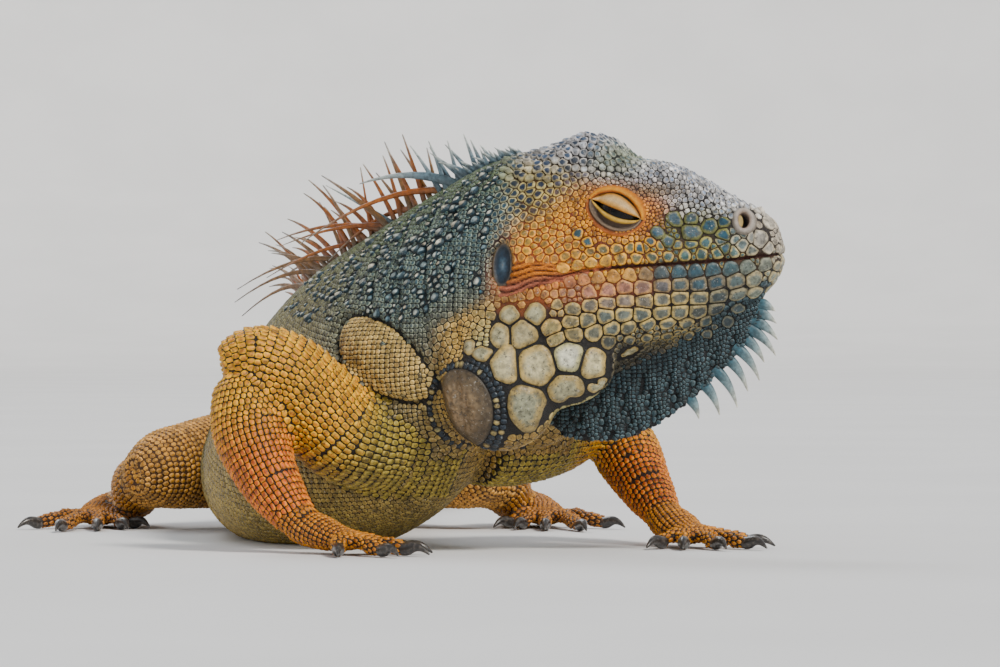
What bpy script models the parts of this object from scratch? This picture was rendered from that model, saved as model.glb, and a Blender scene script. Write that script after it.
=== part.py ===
"""An adult male green iguana at rest on the floor, belly down, head up and turned to its left.

Lengths are in millimetres inside this script and become metres in to_mesh().
The body is one loft along a curved axis, from the snout to the tip of the tail, parted into
head, jaw, neck, trunk and tail; the limbs are lofts of their own, cut where they meet the trunk.
"""
from math import cos, pi, radians, sin, tau

import bmesh
import bpy
import numpy as np
from mathutils import Vector

MM = 0.001
GAP = 0.3          # clearance between neighbouring solids
EMBED = 3.0        # depth of a spine's root in the body it grows from

# ---- head: lengths run forward from the ear, heights are above the floor ----
HEAD_YAW = radians(-15)
EAR_MIDDLE = (8.6, 0.0)
# name, along, lowest, highest, height of widest, half width, upper and lower roundness
HEAD_STATIONS = (
    ("lip", 101.6, 108.5, 119.5, 115.0, 5.0, 2.2, 2.2),
    ("snout front", 99.6, 103.0, 125.0, 114.0, 9.5, 2.2, 2.2),
    ("chin", 95.5, 98.5, 129.5, 113.0, 12.5, 2.2, 2.2),
    ("nostril", 87.5, 94.0, 133.5, 112.0, 15.5, 2.1, 2.2),
    ("snout", 75.0, 86.5, 140.5, 109.0, 19.5, 2.1, 2.2),
    ("eye front", 60.0, 79.5, 146.0, 106.0, 24.0, 2.3, 2.2),
    ("eye", 43.0, 72.0, 150.0, 103.0, 28.5, 2.5, 2.3),
    ("temple", 26.5, 65.0, 154.5, 98.0, 31.5, 2.3, 2.4),
    ("cheek", 10.0, 60.0, 154.5, 94.0, 33.5, 2.1, 2.5),
)
# name, x, y, lowest, highest, height of widest, half width, upper and lower roundness
BODY_STATIONS = (
    ("nape", 1.0, 2.2, 52.0, 151.0, 88.0, 32.0, 2.0, 2.5),
    ("neck", -22.0, 15.5, 20.0, 139.5, 72.0, 33.0, 1.7, 2.4),
    ("shoulder", -46.0, 37.0, 3.0, 125.0, 56.0, 38.0, 1.5, 2.4),
    ("ribs", -68.0, 68.0, -3.0, 111.0, 42.0, 41.0, 1.4, 2.5),
    ("back", -80.0, 112.0, -4.0, 98.5, 32.0, 41.0, 1.4, 2.5),
    ("belly", -80.0, 160.0, -4.0, 91.0, 28.0, 43.0, 1.4, 2.5),
    ("loin", -78.0, 212.0, -3.5, 83.0, 28.0, 41.0, 1.5, 2.5),
    ("hip", -76.0, 266.0, -3.0, 72.0, 29.0, 33.0, 1.7, 2.4),
    ("vent", -73.0, 312.0, -2.0, 58.0, 27.0, 24.0, 1.8, 2.3),
    ("tail root", -68.0, 366.0, -2.0, 47.0, 22.0, 18.0, 1.8, 2.2),
    ("tail first bend", -48.0, 462.0, -1.5, 37.0, 17.5, 13.5, 1.8, 2.2),
    ("tail middle", -18.0, 559.0, -1.5, 29.0, 14.0, 10.5, 1.9, 2.2),
    ("tail second bend", -6.0, 659.0, -1.0, 23.5, 11.5, 8.6, 1.9, 2.2),
    ("tail whip", -30.0, 752.0, -1.0, 18.5, 9.0, 6.9, 2.0, 2.2),
    ("tail third bend", -88.0, 830.0, -0.8, 14.5, 7.0, 5.5, 2.0, 2.1),
    ("tail end", -158.0, 882.0, -0.6, 11.2, 5.4, 4.3, 2.0, 2.1),
    ("tail fourth bend", -198.0, 955.0, -0.5, 8.3, 4.0, 3.3, 2.0, 2.1),
    ("tail curl", -186.0, 1038.0, -0.4, 5.8, 2.7, 2.3, 2.0, 2.0),
    ("tail thread", -126.0, 1090.0, -0.3, 3.8, 1.7, 1.5, 2.0, 2.0),
    ("tail tip", -56.0, 1112.0, -0.2, 2.2, 1.0, 0.9, 2.0, 2.0),
)
# parts of the long body: name, first station, last station, rings
BODY_PARTS = (
    ("skull", "lip", "nape", 21),
    ("neck", "nape", "shoulder", 7),
    ("chest", "shoulder", "back", 7),
    ("abdomen", "back", "hip", 9),
    ("pelvis", "hip", "vent", 4),
    ("tail_base", "vent", "tail first bend", 7),
    ("tail_front", "tail first bend", "tail second bend", 7),
    ("tail_middle", "tail second bend", "tail third bend", 7),
    ("tail_rear", "tail third bend", "tail fourth bend", 6),
    ("tail_whip", "tail fourth bend", "tail tip", 8),
)
BODY_SIDES = 16

# soft swellings and hollows of the head, the same on both sides:
# name, along, aside, height, three radii, three pushes
HEAD_FORMS = (
    ("temple muscle", 31.0, 13.0, 153.0, 14.0, 13.0, 12.0, 0.0, 1.5, 7.8),
    ("crown hollow", 46.0, 0.0, 151.0, 6.0, 12.0, 10.0, 0.0, 0.0, -2.5),
    ("brow ridge", 60.0, 15.0, 144.0, 17.0, 10.0, 10.0, 0.0, 1.6, 5.8),
    ("eye swelling", 43.0, 26.0, 130.0, 13.0, 10.0, 12.0, 0.0, 2.5, 0.0),
    ("snout hollow", 70.0, 19.0, 125.0, 12.0, 9.0, 9.0, 0.0, -2.5, 0.0),
    ("nostril swelling", 88.0, 13.0, 126.0, 6.0, 6.0, 6.0, 0.5, 1.6, 0.8),
    ("cheek muscle", 12.0, 32.0, 108.0, 18.0, 13.0, 20.0, 0.0, 3.0, 0.0),
)
# swellings that make up each jowl: along, aside and height of the centre, three radii
JOWL_SWELLINGS = (
    (-3.0, 22.0, 63.5, 24.5, 17.5, 25.5),
    (14.0, 17.5, 73.0, 28.0, 15.5, 19.0),
)
MOUTH_REAR = (14.0, 100.8)     # along and height of the mouth's corner
MOUTH_FRONT = (102.0, 113.6)
EYE_CENTRE = (43.0, 19.0, 129.5)
EYE_RADIUS = 9.2
EARDRUM_CENTRE = (0.0, 31.5, 109.5)
EARDRUM_RADII = (3.4, 7.2)
EARDRUM_DEPTH = 3.0
NOSTRIL_CENTRE = (89.5, 13.5, 126.0)
NOSTRIL_RADIUS = 2.6

# ---- dewlap: its free edge in the head's middle plane, along and height ----
DEWLAP_EDGE = ((95.5, 97.0), (93.5, 89.0), (89.0, 81.0), (81.0, 71.5), (69.0, 60.0),
               (53.0, 48.0), (36.0, 42.0), (19.0, 43.0), (8.0, 51.0))
DEWLAP_HALF_THICKNESS = 1.8
DEWLAP_ROOT = 4.0              # how far it reaches up into the jaw
DEWLAP_TAPER = (1.6, 1.0, 0.55)    # thickness at the root, half way and at the edge
DEWLAP_SLICES = 11
DEWLAP_SPINES = 10
DEWLAP_SPINE_SPAN = (0.04, 0.52)   # shares of the edge where the first and last one stand
DEWLAP_SPINE_LENGTHS = (6.0, 12.5, 8.0)    # first, longest, last
DEWLAP_SPINE_WIDTH = 3.2
DEWLAP_SPINE_THICKNESS = 1.9
DEWLAP_SPINE_BEND = 0.25

# ---- crest of spines along the back ----
CREST_FIRST = "nape"
CREST_LAST = "tail first bend"
CREST_SPACING = 10.5
CREST_TAIL_SPACING = 19.0
CREST_MARGIN = 5.0     # no spine stands nearer than this to a cut
# name of station, length, lean back in degrees, droop to the right side
CREST_SIZES = (
    ("nape", 6.0, 20.0, 0.05),
    ("neck", 40.0, 52.0, 0.35),
    ("shoulder", 58.0, 52.0, 0.55),
    ("ribs", 56.0, 48.0, 0.60),
    ("back", 48.0, 46.0, 0.60),
    ("belly", 42.0, 46.0, 0.50),
    ("loin", 32.0, 48.0, 0.30),
    ("hip", 20.0, 50.0, 0.15),
    ("vent", 13.0, 52.0, 0.05),
    ("tail root", 9.0, 55.0, 0.0),
    ("tail first bend", 5.0, 58.0, 0.0),
)
CREST_LONGEST = 56.0
CREST_WIDTHS = (2.1, 3.8)      # of a very short and of the longest spine
CREST_THICKNESS = 1.7
CREST_SINK = 0.5               # the base lies this far under the ridge
CREST_BEND = (0.8, -0.55)      # sideways and upward parts of the droop
SPINE_RINGS = (0.45, 1.0)      # shares of the length, past the root
SPINE_TAPER = (0.82, 1.4)      # share lost at the tip, and how late it is lost
SPINE_TIP = 0.3                # least half thickness

# ---- limbs: three parts each, every part starting inside the one before, which cuts it ----
# x, y, height, half width and half height of each ring station
LIMBS = {
    "right_upper_arm": ((-22, 19, 40, 18, 17), (-42, 8, 40, 20, 17.5), (-60, 0, 45, 20, 19),
                        (-71, -3, 56, 18.5, 18.5), (-83, -5, 68, 16.5, 17),
                        (-95, -6, 73, 13.5, 14), (-106, -7, 71, 8.5, 9)),
    "right_forearm": ((-98, -8, 65, 12.5, 12.5), (-95.5, -12, 48, 15.5, 15.5),
                      (-89, -18, 30, 12.5, 12.5), (-78, -25, 13.5, 9.5, 8.5)),
    "right_hand": ((-82, -22, 16, 7, 7), (-74, -27, 10.5, 9, 7.5), (-65, -33, 7.2, 9.5, 6.4),
                   (-57, -39, 4.8, 8.0, 5.2)),
    "left_upper_arm": ((-10, 30, 40, 18, 17), (4, 44, 43, 21, 20), (20, 64, 49, 21, 22),
                       (34, 81, 52, 18, 18), (43, 92, 50, 14.5, 15), (49, 99, 48, 9, 9.5)),
    "left_forearm": ((43, 89, 48, 12, 12), (50, 80, 37, 14, 14), (57, 65, 24, 11.5, 11.5),
                     (64, 49, 12.5, 9, 8)),
    "left_hand": ((61, 54, 15, 7, 7), (66, 44, 10, 9, 7.5), (71, 34, 7.2, 9.5, 6.4),
                  (75, 25, 4.8, 8.0, 5.2)),
    "right_thigh": ((-86, 262, 34, 24, 25), (-112, 247, 30, 21, 22), (-134, 228, 27, 18, 19),
                    (-147, 213, 25, 15, 16), (-155, 205, 23, 9.5, 10)),
    "right_shin": ((-147, 212, 23, 11, 12), (-153, 224, 20, 12.5, 13), (-157, 244, 16, 11, 11.5),
                   (-158, 264, 11.5, 9, 9), (-158, 273, 10.0, 6, 6)),
    "right_foot": ((-158, 267, 9.5, 6.5, 6.5), (-166, 263, 8.5, 9, 7.5),
                   (-172, 250, 6.6, 9.5, 6.2), (-173, 233, 5.0, 9, 5.2)),
    "left_thigh": ((-68, 264, 34, 24, 25), (-42, 249, 30, 21, 22), (-20, 230, 27, 18, 19),
                   (-7, 215, 25, 15, 16), (1, 207, 23, 9.5, 10)),
    "left_shin": ((-7, 214, 23, 11, 12), (-1, 226, 20, 12.5, 13), (3, 246, 16, 11, 11.5),
                  (4, 266, 11.5, 9, 9), (4, 275, 10.0, 6, 6)),
    "left_foot": ((4, 269, 9.5, 6.5, 6.5), (12, 265, 8.5, 9, 7.5), (18, 252, 6.6, 9.5, 6.2),
                  (20, 235, 5.0, 9, 5.2)),
}
LIMB_SIDES = 8
RINGS_PER_STEP = 2
ARM_PARTS = ("upper_arm", "forearm", "hand")
LEG_PARTS = ("thigh", "shin", "foot")

# digits: turn from the limb's heading in degrees (inner side positive) and length
HAND_DIGITS = ((58, 13.0), (28, 20.0), (5, 26.0), (-18, 27.0), (-52, 17.0))
FOOT_DIGITS = ((46, 15.0), (24, 25.0), (8, 38.0), (-6, 48.0), (-44, 24.0))
DIGIT_RADIUS = (4.0, 2.9)       # at the knuckle and at the claw
DIGIT_END_HEIGHT = 2.7
DIGIT_ROOT = 5.0                # how far a digit reaches back into the palm
DIGIT_ARCH = ((0.20, 0.9), (0.55, -0.4))    # share of the length, height over the knuckle
DIGIT_SPREAD = 2.6              # digits across the half width of the palm
DIGIT_SIDES = 5
CLAW_LENGTH = 10.0
CLAW_SHARES = (0.0, 0.35, 0.7, 1.0)
CLAW_WIDTH = 0.82               # of the digit it grows from
CLAW_HOOK = 2.2                 # how late it turns down
CLAW_ARCH = 1.3
CLAW_END_HEIGHT = 1.0
CLAW_SIDES = 5
CLAW_TIP = 0.45
SHARP_EDGE = radians(50)
CUT_MERGE = 1e-7                # metres

# ---- colours: name, colour, roughness ----
SKINS = {
    "grey_blue_head_skin": ((0.30, 0.34, 0.36), 0.55),
    "cream_green_jowl_skin": ((0.42, 0.40, 0.28), 0.55),
    "slate_dewlap_skin": ((0.12, 0.19, 0.22), 0.6),
    "teal_neck_skin": ((0.16, 0.25, 0.28), 0.6),
    "olive_trunk_skin": ((0.24, 0.22, 0.13), 0.6),
    "banded_tail_skin": ((0.30, 0.25, 0.16), 0.6),
    "golden_limb_skin": ((0.62, 0.36, 0.12), 0.55),
    "dark_claw_horn": ((0.06, 0.05, 0.05), 0.35),
    "dark_wet_eye": ((0.05, 0.03, 0.02), 0.1),
    "blue_grey_eardrum": ((0.14, 0.18, 0.22), 0.35),
}
BODY_SKINS = {"neck": "teal_neck_skin", "chest": "olive_trunk_skin",
              "abdomen": "olive_trunk_skin", "pelvis": "olive_trunk_skin"}


# ---------------------------------------------------------------- helpers
def clear_scene():
    for old in list(bpy.data.objects):
        bpy.data.objects.remove(old, do_unlink=True)


def skin_material(name):
    colour, roughness = SKINS[name]
    material = bpy.data.materials.get(name) or bpy.data.materials.new(name)
    material.use_nodes = True
    shader = material.node_tree.nodes["Principled BSDF"]
    shader.inputs["Base Color"].default_value = (*colour, 1.0)
    shader.inputs["Roughness"].default_value = roughness
    shader.inputs["Metallic"].default_value = 0.0
    return material


def blend(keys, values, at):
    """Smooth curve through the values at the keys, read at the places in at."""
    keys = np.asarray(keys, float)
    values = np.asarray(values, float)
    at = np.asarray(at, float)
    slopes = np.gradient(values, keys, axis=0)
    index = np.clip(np.searchsorted(keys, at, side="right") - 1, 0, len(keys) - 2)
    step = keys[index + 1] - keys[index]
    part = (at - keys[index]) / step
    if values.ndim > 1:
        step = step[:, None]
        part = part[:, None]
    square = part * part
    cube = square * part
    return ((2 * cube - 3 * square + 1) * values[index]
            + (cube - 2 * square + part) * step * slopes[index]
            + (3 * square - 2 * cube) * values[index + 1]
            + (cube - square) * step * slopes[index + 1])


def head_point(along, aside, height):
    """Place of a point given along the head, to its right side, and above the floor."""
    forward = np.array([cos(HEAD_YAW), sin(HEAD_YAW)])
    right = np.array([sin(HEAD_YAW), -cos(HEAD_YAW)])
    flat = np.array(EAR_MIDDLE) + along * forward + aside * right
    return np.array([flat[0], flat[1], height])


def to_object(name, mesh, skin):
    """An object of one skin from a finished mesh."""
    mesh.materials.append(skin_material(skin))
    mesh.shade_smooth()
    mesh.set_sharp_from_angle(angle=SHARP_EDGE)
    body = bpy.data.objects.new(name, mesh)
    bpy.context.scene.collection.objects.link(body)
    return body


def to_mesh(name, points, faces, skin):
    """An object from points in millimetres and a list of faces."""
    mesh = bpy.data.meshes.new(name)
    mesh.from_pydata([tuple(MM * p for p in point) for point in points], [], faces)
    work = bmesh.new()
    work.from_mesh(mesh)
    bmesh.ops.triangulate(work, faces=work.faces[:])
    bmesh.ops.recalc_face_normals(work, faces=work.faces[:])
    work.to_mesh(mesh)
    work.free()
    return to_object(name, mesh, skin)


def loft(rings):
    """Points and faces of a closed tube through equal rings, each end closed by a fan."""
    count = len(rings[0])
    points = [point for ring in rings for point in ring]
    faces = []
    for row in range(len(rings) - 1):
        for k in range(count):
            nxt = (k + 1) % count
            a, b = row * count + k, row * count + nxt
            faces.append((a, b, b + count, a + count))
    for ring, row in ((rings[0], 0), (rings[-1], len(rings) - 1)):
        centre = len(points)
        points.append(np.mean(ring, axis=0))
        for k in range(count):
            faces.append((centre, row * count + k, row * count + (k + 1) % count))
    return points, faces


def set_back(rings):
    """Draw the two end rings of a part in by half the gap."""
    inward = np.mean(rings[1], axis=0) - np.mean(rings[0], axis=0)
    outward = np.mean(rings[-1], axis=0) - np.mean(rings[-2], axis=0)
    rings[0] = rings[0] + GAP / 2 * inward / np.linalg.norm(inward)
    rings[-1] = rings[-1] - GAP / 2 * outward / np.linalg.norm(outward)
    return rings


def combine(body, tool, operation):
    """Boolean of two objects, applied to the first; the second is used up."""
    modifier = body.modifiers.new("shape", "BOOLEAN")
    modifier.object = tool
    modifier.operation = operation
    modifier.solver = "EXACT"
    with bpy.context.temp_override(object=body, active_object=body):
        bpy.ops.object.modifier_apply(modifier=modifier.name)
    bpy.data.objects.remove(tool, do_unlink=True)


def grown_copy(body, amount):
    """A cutter: the same shape, pushed out along its normals by amount millimetres."""
    cutter = body.copy()
    cutter.data = body.data.copy()
    bpy.context.scene.collection.objects.link(cutter)
    cutter.hide_render = True
    cutter.display_type = "WIRE"
    work = bmesh.new()
    work.from_mesh(cutter.data)
    work.normal_update()
    moves = [(vertex, vertex.normal * amount * MM) for vertex in work.verts]
    for vertex, move in moves:
        vertex.co += move
    work.to_mesh(cutter.data)
    work.free()
    return cutter


def drop_offcuts(body):
    """Keep only the largest of the separate pieces that a cut has left."""
    work = bmesh.new()
    work.from_mesh(body.data)
    unseen = set(work.verts)
    pieces = []
    while unseen:
        piece = {unseen.pop()}
        front = list(piece)
        while front:
            vertex = front.pop()
            near = {edge.other_vert(vertex) for edge in vertex.link_edges} - piece
            piece |= near
            front += near
        unseen -= piece
        pieces.append(piece)
    pieces.sort(key=len)
    for piece in pieces[:-1]:
        bmesh.ops.delete(work, geom=list(piece), context="VERTS")
    work.to_mesh(body.data)
    work.free()


# ---------------------------------------------------------------- the long body
def axis_table():
    """Names, arc lengths and rows (x, y, low, high, widest, half width, roundness) of the axis."""
    names = []
    rows = []
    for name, along, *sizes in HEAD_STATIONS:
        names.append(name)
        rows.append([*head_point(along, 0, 0)[:2], *sizes])
    for name, *sizes in BODY_STATIONS:
        names.append(name)
        rows.append(sizes)
    rows = np.array(rows, float)
    steps = np.linalg.norm(np.diff(rows[:, :2], axis=0), axis=1)
    return names, np.concatenate([[0.0], np.cumsum(steps)]), rows


def body_frames(at):
    """Sizes and right-hand directions of the body's rings at the given arc lengths."""
    _, lengths, rows = axis_table()
    sizes = blend(lengths, rows, at)
    ahead = blend(lengths, rows[:, :2], np.maximum(at - 1.0, 0.0))
    behind = blend(lengths, rows[:, :2], np.minimum(at + 1.0, lengths[-1]))
    forward = ahead - behind
    forward /= np.linalg.norm(forward, axis=1)[:, None]
    right = np.column_stack([forward[:, 1], -forward[:, 0]])
    return sizes, right


def rounded(value, roundness):
    return np.sign(value) * np.abs(value) ** (2.0 / roundness)


def body_rings(at):
    """Rings of the body: rounder below, ridged above, flattened where it lies on the floor."""
    sizes, right = body_frames(at)
    angles = tau * np.arange(BODY_SIDES) / BODY_SIDES
    rings = []
    for (x, y, low, high, widest, half, upper, lower), side in zip(sizes, right):
        is_upper = np.sin(angles) >= 0
        roundness = np.where(is_upper, upper, lower)
        aside = half * rounded(np.cos(angles), roundness)
        reach = np.where(is_upper, high - widest, widest - low)
        height = widest + reach * rounded(np.sin(angles), roundness)
        ring = np.column_stack([x + side[0] * aside, y + side[1] * aside, height])
        rings.append(ring)
    return [lay_down(head_forms(ring)) for ring in rings]


def lay_down(points):
    """Nothing goes below the floor."""
    points[:, 2] = np.maximum(points[:, 2], 0.0)
    return points


def head_forms(points):
    """Push the points by the head's swellings and hollows."""
    forward = np.array([cos(HEAD_YAW), sin(HEAD_YAW), 0.0])
    right = np.array([sin(HEAD_YAW), -cos(HEAD_YAW), 0.0])
    up = np.array([0.0, 0.0, 1.0])
    local = points - np.array([*EAR_MIDDLE, 0.0])
    along = local @ forward
    aside = local @ right
    moved = points.copy()
    for _, a, s, h, ra, rs, rh, push_a, push_s, push_h in HEAD_FORMS:
        for mirror in ((1, -1) if s else (1,)):
            far = (((along - a) / ra) ** 2 + ((aside - mirror * s) / rs) ** 2
                   + ((points[:, 2] - h) / rh) ** 2)
            push = push_a * forward + mirror * push_s * right + push_h * up
            moved += np.exp(-far)[:, None] * push
    return moved


def body_part(first, last, count):
    """Rings of one part of the body, between two named stations."""
    names, lengths, _ = axis_table()
    at = np.linspace(lengths[names.index(first)], lengths[names.index(last)], count)
    return [lay_down(ring) for ring in set_back(body_rings(at))]


# ---------------------------------------------------------------- head and jaw
def mouth_plane():
    """A point of the mouth's plane and its upward normal."""
    rear = head_point(MOUTH_REAR[0], 0, MOUTH_REAR[1])
    front = head_point(MOUTH_FRONT[0], 0, MOUTH_FRONT[1])
    along = front - rear
    across = head_point(0, 1, 0) - head_point(0, 0, 0)
    normal = np.cross(across, along)
    normal *= np.sign(normal[2]) / np.linalg.norm(normal)
    return rear, normal


def part_at_mouth(skull, name, above, skin):
    """The half of the skull above or below the mouth's plane, closed again at the cut."""
    point, normal = mouth_plane()
    side = 1.0 if above else -1.0
    work = bmesh.new()
    work.from_mesh(skull.data)
    bmesh.ops.bisect_plane(
        work, geom=work.verts[:] + work.edges[:] + work.faces[:], dist=CUT_MERGE,
        plane_co=Vector(MM * (point + side * GAP / 2 * normal)),
        plane_no=Vector(-side * normal), clear_outer=True)
    open_edges = [edge for edge in work.edges if edge.is_boundary]
    bmesh.ops.holes_fill(work, edges=open_edges, sides=0)
    bmesh.ops.triangulate(work, faces=work.faces[:])
    bmesh.ops.recalc_face_normals(work, faces=work.faces[:])
    mesh = bpy.data.meshes.new(name)
    work.to_mesh(mesh)
    work.free()
    return to_object(name, mesh, skin)


def ellipsoid(name, centre, radii, skin, segments=10, rings=6):
    """An ellipsoid turned with the head, its poles up and down."""
    points = [centre + np.array([0, 0, radii[2]])]
    for row in range(1, rings):
        tilt = pi * row / rings
        for k in range(segments):
            turn = tau * k / segments
            local = (radii[0] * sin(tilt) * cos(turn), radii[1] * sin(tilt) * sin(turn))
            flat = head_point(*local, 0) - head_point(0, 0, 0)
            points.append(centre + flat + np.array([0, 0, radii[2] * cos(tilt)]))
    points.append(centre - np.array([0, 0, radii[2]]))
    faces = [(0, 1 + k, 1 + (k + 1) % segments) for k in range(segments)]
    for row in range(rings - 2):
        for k in range(segments):
            a, b = 1 + row * segments + k, 1 + row * segments + (k + 1) % segments
            faces.append((a, b, b + segments, a + segments))
    last = len(points) - 1
    base = 1 + (rings - 2) * segments
    faces += [(last, base + k, base + (k + 1) % segments) for k in range(segments)]
    return to_mesh(name, points, faces, skin)


def plug(name, centre, radii, outward, depth, grow, skin, sides=14):
    """An oval plug whose outer face looks along outward and whose body reaches in by depth."""
    outward = np.array(outward, float) / np.linalg.norm(outward)
    along = np.cross([0.0, 0.0, 1.0], outward)
    along /= np.linalg.norm(along)
    up = np.cross(outward, along)
    rings = []
    for reach in (grow, -depth - grow):
        ring = []
        for k in range(sides):
            turn = tau * k / sides
            ring.append(centre + reach * outward + (radii[0] + grow) * cos(turn) * along
                        + (radii[1] + grow) * sin(turn) * up)
        rings.append(np.array(ring))
    return to_mesh(name, *loft(rings), skin)


def build_head():
    """Upper head with eyes, eardrums and nostrils, and the lower jaw, which is handed on."""
    _, first, last, count = BODY_PARTS[0]
    skull = to_mesh("skull", *loft(body_part(first, last, count)), "grey_blue_head_skin")
    head = part_at_mouth(skull, "head", True, "grey_blue_head_skin")
    jaw = part_at_mouth(skull, "lower_jaw", False, "cream_green_jowl_skin")
    bpy.data.objects.remove(skull, do_unlink=True)
    right_way = head_point(0, 1, 0) - head_point(0, 0, 0)
    for side, mirror in (("right", 1), ("left", -1)):
        eye_at = head_point(EYE_CENTRE[0], mirror * EYE_CENTRE[1], EYE_CENTRE[2])
        ellipsoid(f"{side}_eye", eye_at, (EYE_RADIUS,) * 3, "dark_wet_eye")
        socket = ellipsoid("socket", eye_at, (EYE_RADIUS + 2 * GAP,) * 3,
                           "grey_blue_head_skin")
        combine(head, socket, "DIFFERENCE")
        ear_at = head_point(EARDRUM_CENTRE[0], mirror * EARDRUM_CENTRE[1], EARDRUM_CENTRE[2])
        outward = mirror * right_way
        plug(f"{side}_eardrum", ear_at, EARDRUM_RADII, outward, EARDRUM_DEPTH, 0.0,
             "blue_grey_eardrum")
        hollow = plug("hollow", ear_at + 3 * outward, EARDRUM_RADII, outward,
                      EARDRUM_DEPTH + 3, 2 * GAP, "blue_grey_eardrum")
        combine(head, hollow, "DIFFERENCE")
        nose_at = head_point(NOSTRIL_CENTRE[0], mirror * NOSTRIL_CENTRE[1], NOSTRIL_CENTRE[2])
        pit = plug("pit", nose_at + 4 * outward, (NOSTRIL_RADIUS,) * 2, outward, 8.0, 0.0,
                   "grey_blue_head_skin", 10)
        combine(head, pit, "DIFFERENCE")
    return jaw


def jowl(mirror, grow):
    """Both swellings of one jowl as one body, pushed out by grow."""
    swellings = []
    for along, aside, height, *radii in JOWL_SWELLINGS:
        centre = head_point(along, mirror * aside, height)
        swellings.append(ellipsoid("jowl", centre, [radius + grow for radius in radii],
                                   "cream_green_jowl_skin", 12, 7))
    combine(*swellings, "UNION")
    return swellings[0]


# ---------------------------------------------------------------- dewlap
def throat_height(along):
    """Lowest point of the jaw in the head's middle plane."""
    alongs = [station[1] for station in HEAD_STATIONS][::-1]
    lows = [station[2] for station in HEAD_STATIONS][::-1]
    return float(np.interp(along, alongs, lows))


def dewlap_edge(shares):
    """Along and height of the free edge at shares of its length, from the chin back."""
    return blend(np.linspace(0, 1, len(DEWLAP_EDGE)), DEWLAP_EDGE, shares)


def dewlap_spine(share):
    """One spine square to the free edge; share runs from the first spine to the last."""
    first, last = DEWLAP_SPINE_SPAN
    at = first + share * (last - first)
    (ahead, above), (along, height), (after, below) = dewlap_edge([at - 0.02, at, at + 0.02])
    edge_way = np.array([after - ahead, below - above])
    edge_way /= np.linalg.norm(edge_way)
    length = float(np.interp(share, (0.0, 0.5, 1.0), DEWLAP_SPINE_LENGTHS))
    origin = head_point(0, 0, 0)
    way = head_point(-edge_way[1], 0, edge_way[0]) - origin
    bend = DEWLAP_SPINE_BEND * (head_point(edge_way[0], 0, edge_way[1]) - origin)
    across = head_point(0, 1, 0) - origin
    return spine(head_point(along, 0, height), way, bend, across, length,
                 DEWLAP_SPINE_WIDTH, DEWLAP_SPINE_THICKNESS)


def build_dewlap(jaw):
    """A thin flap under the throat with a row of spines on its front edge."""
    rings = []
    for along, height in dewlap_edge(np.linspace(0, 1, DEWLAP_SLICES)):
        root = max(throat_height(along), height) + DEWLAP_ROOT
        levels = (root, (root + height) / 2, height)
        shape = [(DEWLAP_HALF_THICKNESS * taper, level)
                 for taper, level in zip(DEWLAP_TAPER, levels)]
        shape += [(-aside, level) for aside, level in reversed(shape)]
        rings.append(np.array([head_point(along, aside, level) for aside, level in shape]))
    dewlap = to_mesh("dewlap", *loft(rings), "slate_dewlap_skin")
    for share in np.linspace(0, 1, DEWLAP_SPINES):
        combine(dewlap, dewlap_spine(share), "UNION")
    combine(dewlap, grown_copy(jaw, GAP), "DIFFERENCE")
    for mirror in (1, -1):
        combine(dewlap, jowl(mirror, GAP), "DIFFERENCE")


def spine(base, way, droop, across, length, width, thickness):
    """A flat tapering spine, rooted below base, that bends with droop towards its tip."""
    rings = []
    edge = np.cross(across, way)
    edge /= np.linalg.norm(edge)
    for share in (-EMBED / length, *SPINE_RINGS):
        lift = max(share, 0.0)
        centre = base + length * (share * way + lift * lift * droop)
        taper = 1.0 - SPINE_TAPER[0] * lift ** SPINE_TAPER[1]
        half_wide = 0.5 * width * taper
        half_thick = max(0.5 * thickness * taper, SPINE_TIP)
        rings.append(np.array([centre + half_wide * edge, centre + half_thick * across,
                               centre - half_wide * edge, centre - half_thick * across]))
    return to_mesh("spine", *loft(rings), "teal_neck_skin")


# ---------------------------------------------------------------- neck, trunk, tail and crest
def crest_plan():
    """Arc length, size, lean and droop of each spine of the crest."""
    names, lengths, _ = axis_table()
    places = [lengths[names.index(row[0])] for row in CREST_SIZES]
    first = lengths[names.index(CREST_FIRST)] + CREST_MARGIN
    last = lengths[names.index(CREST_LAST)] - CREST_MARGIN
    vent = lengths[names.index("vent")]
    at = np.concatenate([np.arange(first, vent, CREST_SPACING),
                         np.arange(vent + CREST_MARGIN, last, CREST_TAIL_SPACING)])
    return at, blend(places, [row[1:] for row in CREST_SIZES], at)


def crest_spine(at, length, lean, droop):
    """One spine on the ridge of the back, leaning towards the tail and bending to the right."""
    sizes, right = body_frames(np.array([at]))
    x, y, _, high = sizes[0][:4]
    side = np.array([*right[0], 0.0])
    back = np.array([right[0][1], -right[0][0], 0.0])
    up = np.array([0.0, 0.0, 1.0])
    way = cos(radians(lean)) * up + sin(radians(lean)) * back
    bend = droop * (CREST_BEND[0] * side + CREST_BEND[1] * up)
    width = float(np.interp(length, (0.0, CREST_LONGEST), CREST_WIDTHS))
    return spine(np.array([x, y, high - CREST_SINK]), way, bend, side, length, width,
                 CREST_THICKNESS)


def build_trunk():
    """Neck, chest, abdomen and tail, each with its own spines."""
    names, lengths, _ = axis_table()
    spines_at, spine_sizes = crest_plan()
    parts = {}
    for name, first, last, count in BODY_PARTS[1:]:
        skin = BODY_SKINS.get(name, "banded_tail_skin")
        part = to_mesh(name, *loft(body_part(first, last, count)), skin)
        start, end = lengths[names.index(first)], lengths[names.index(last)]
        for at, (length, lean, droop) in zip(spines_at, spine_sizes):
            if start + CREST_MARGIN <= at <= end - CREST_MARGIN:
                combine(part, crest_spine(at, length, lean, droop), "UNION")
        parts[name] = part
    return parts


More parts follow.
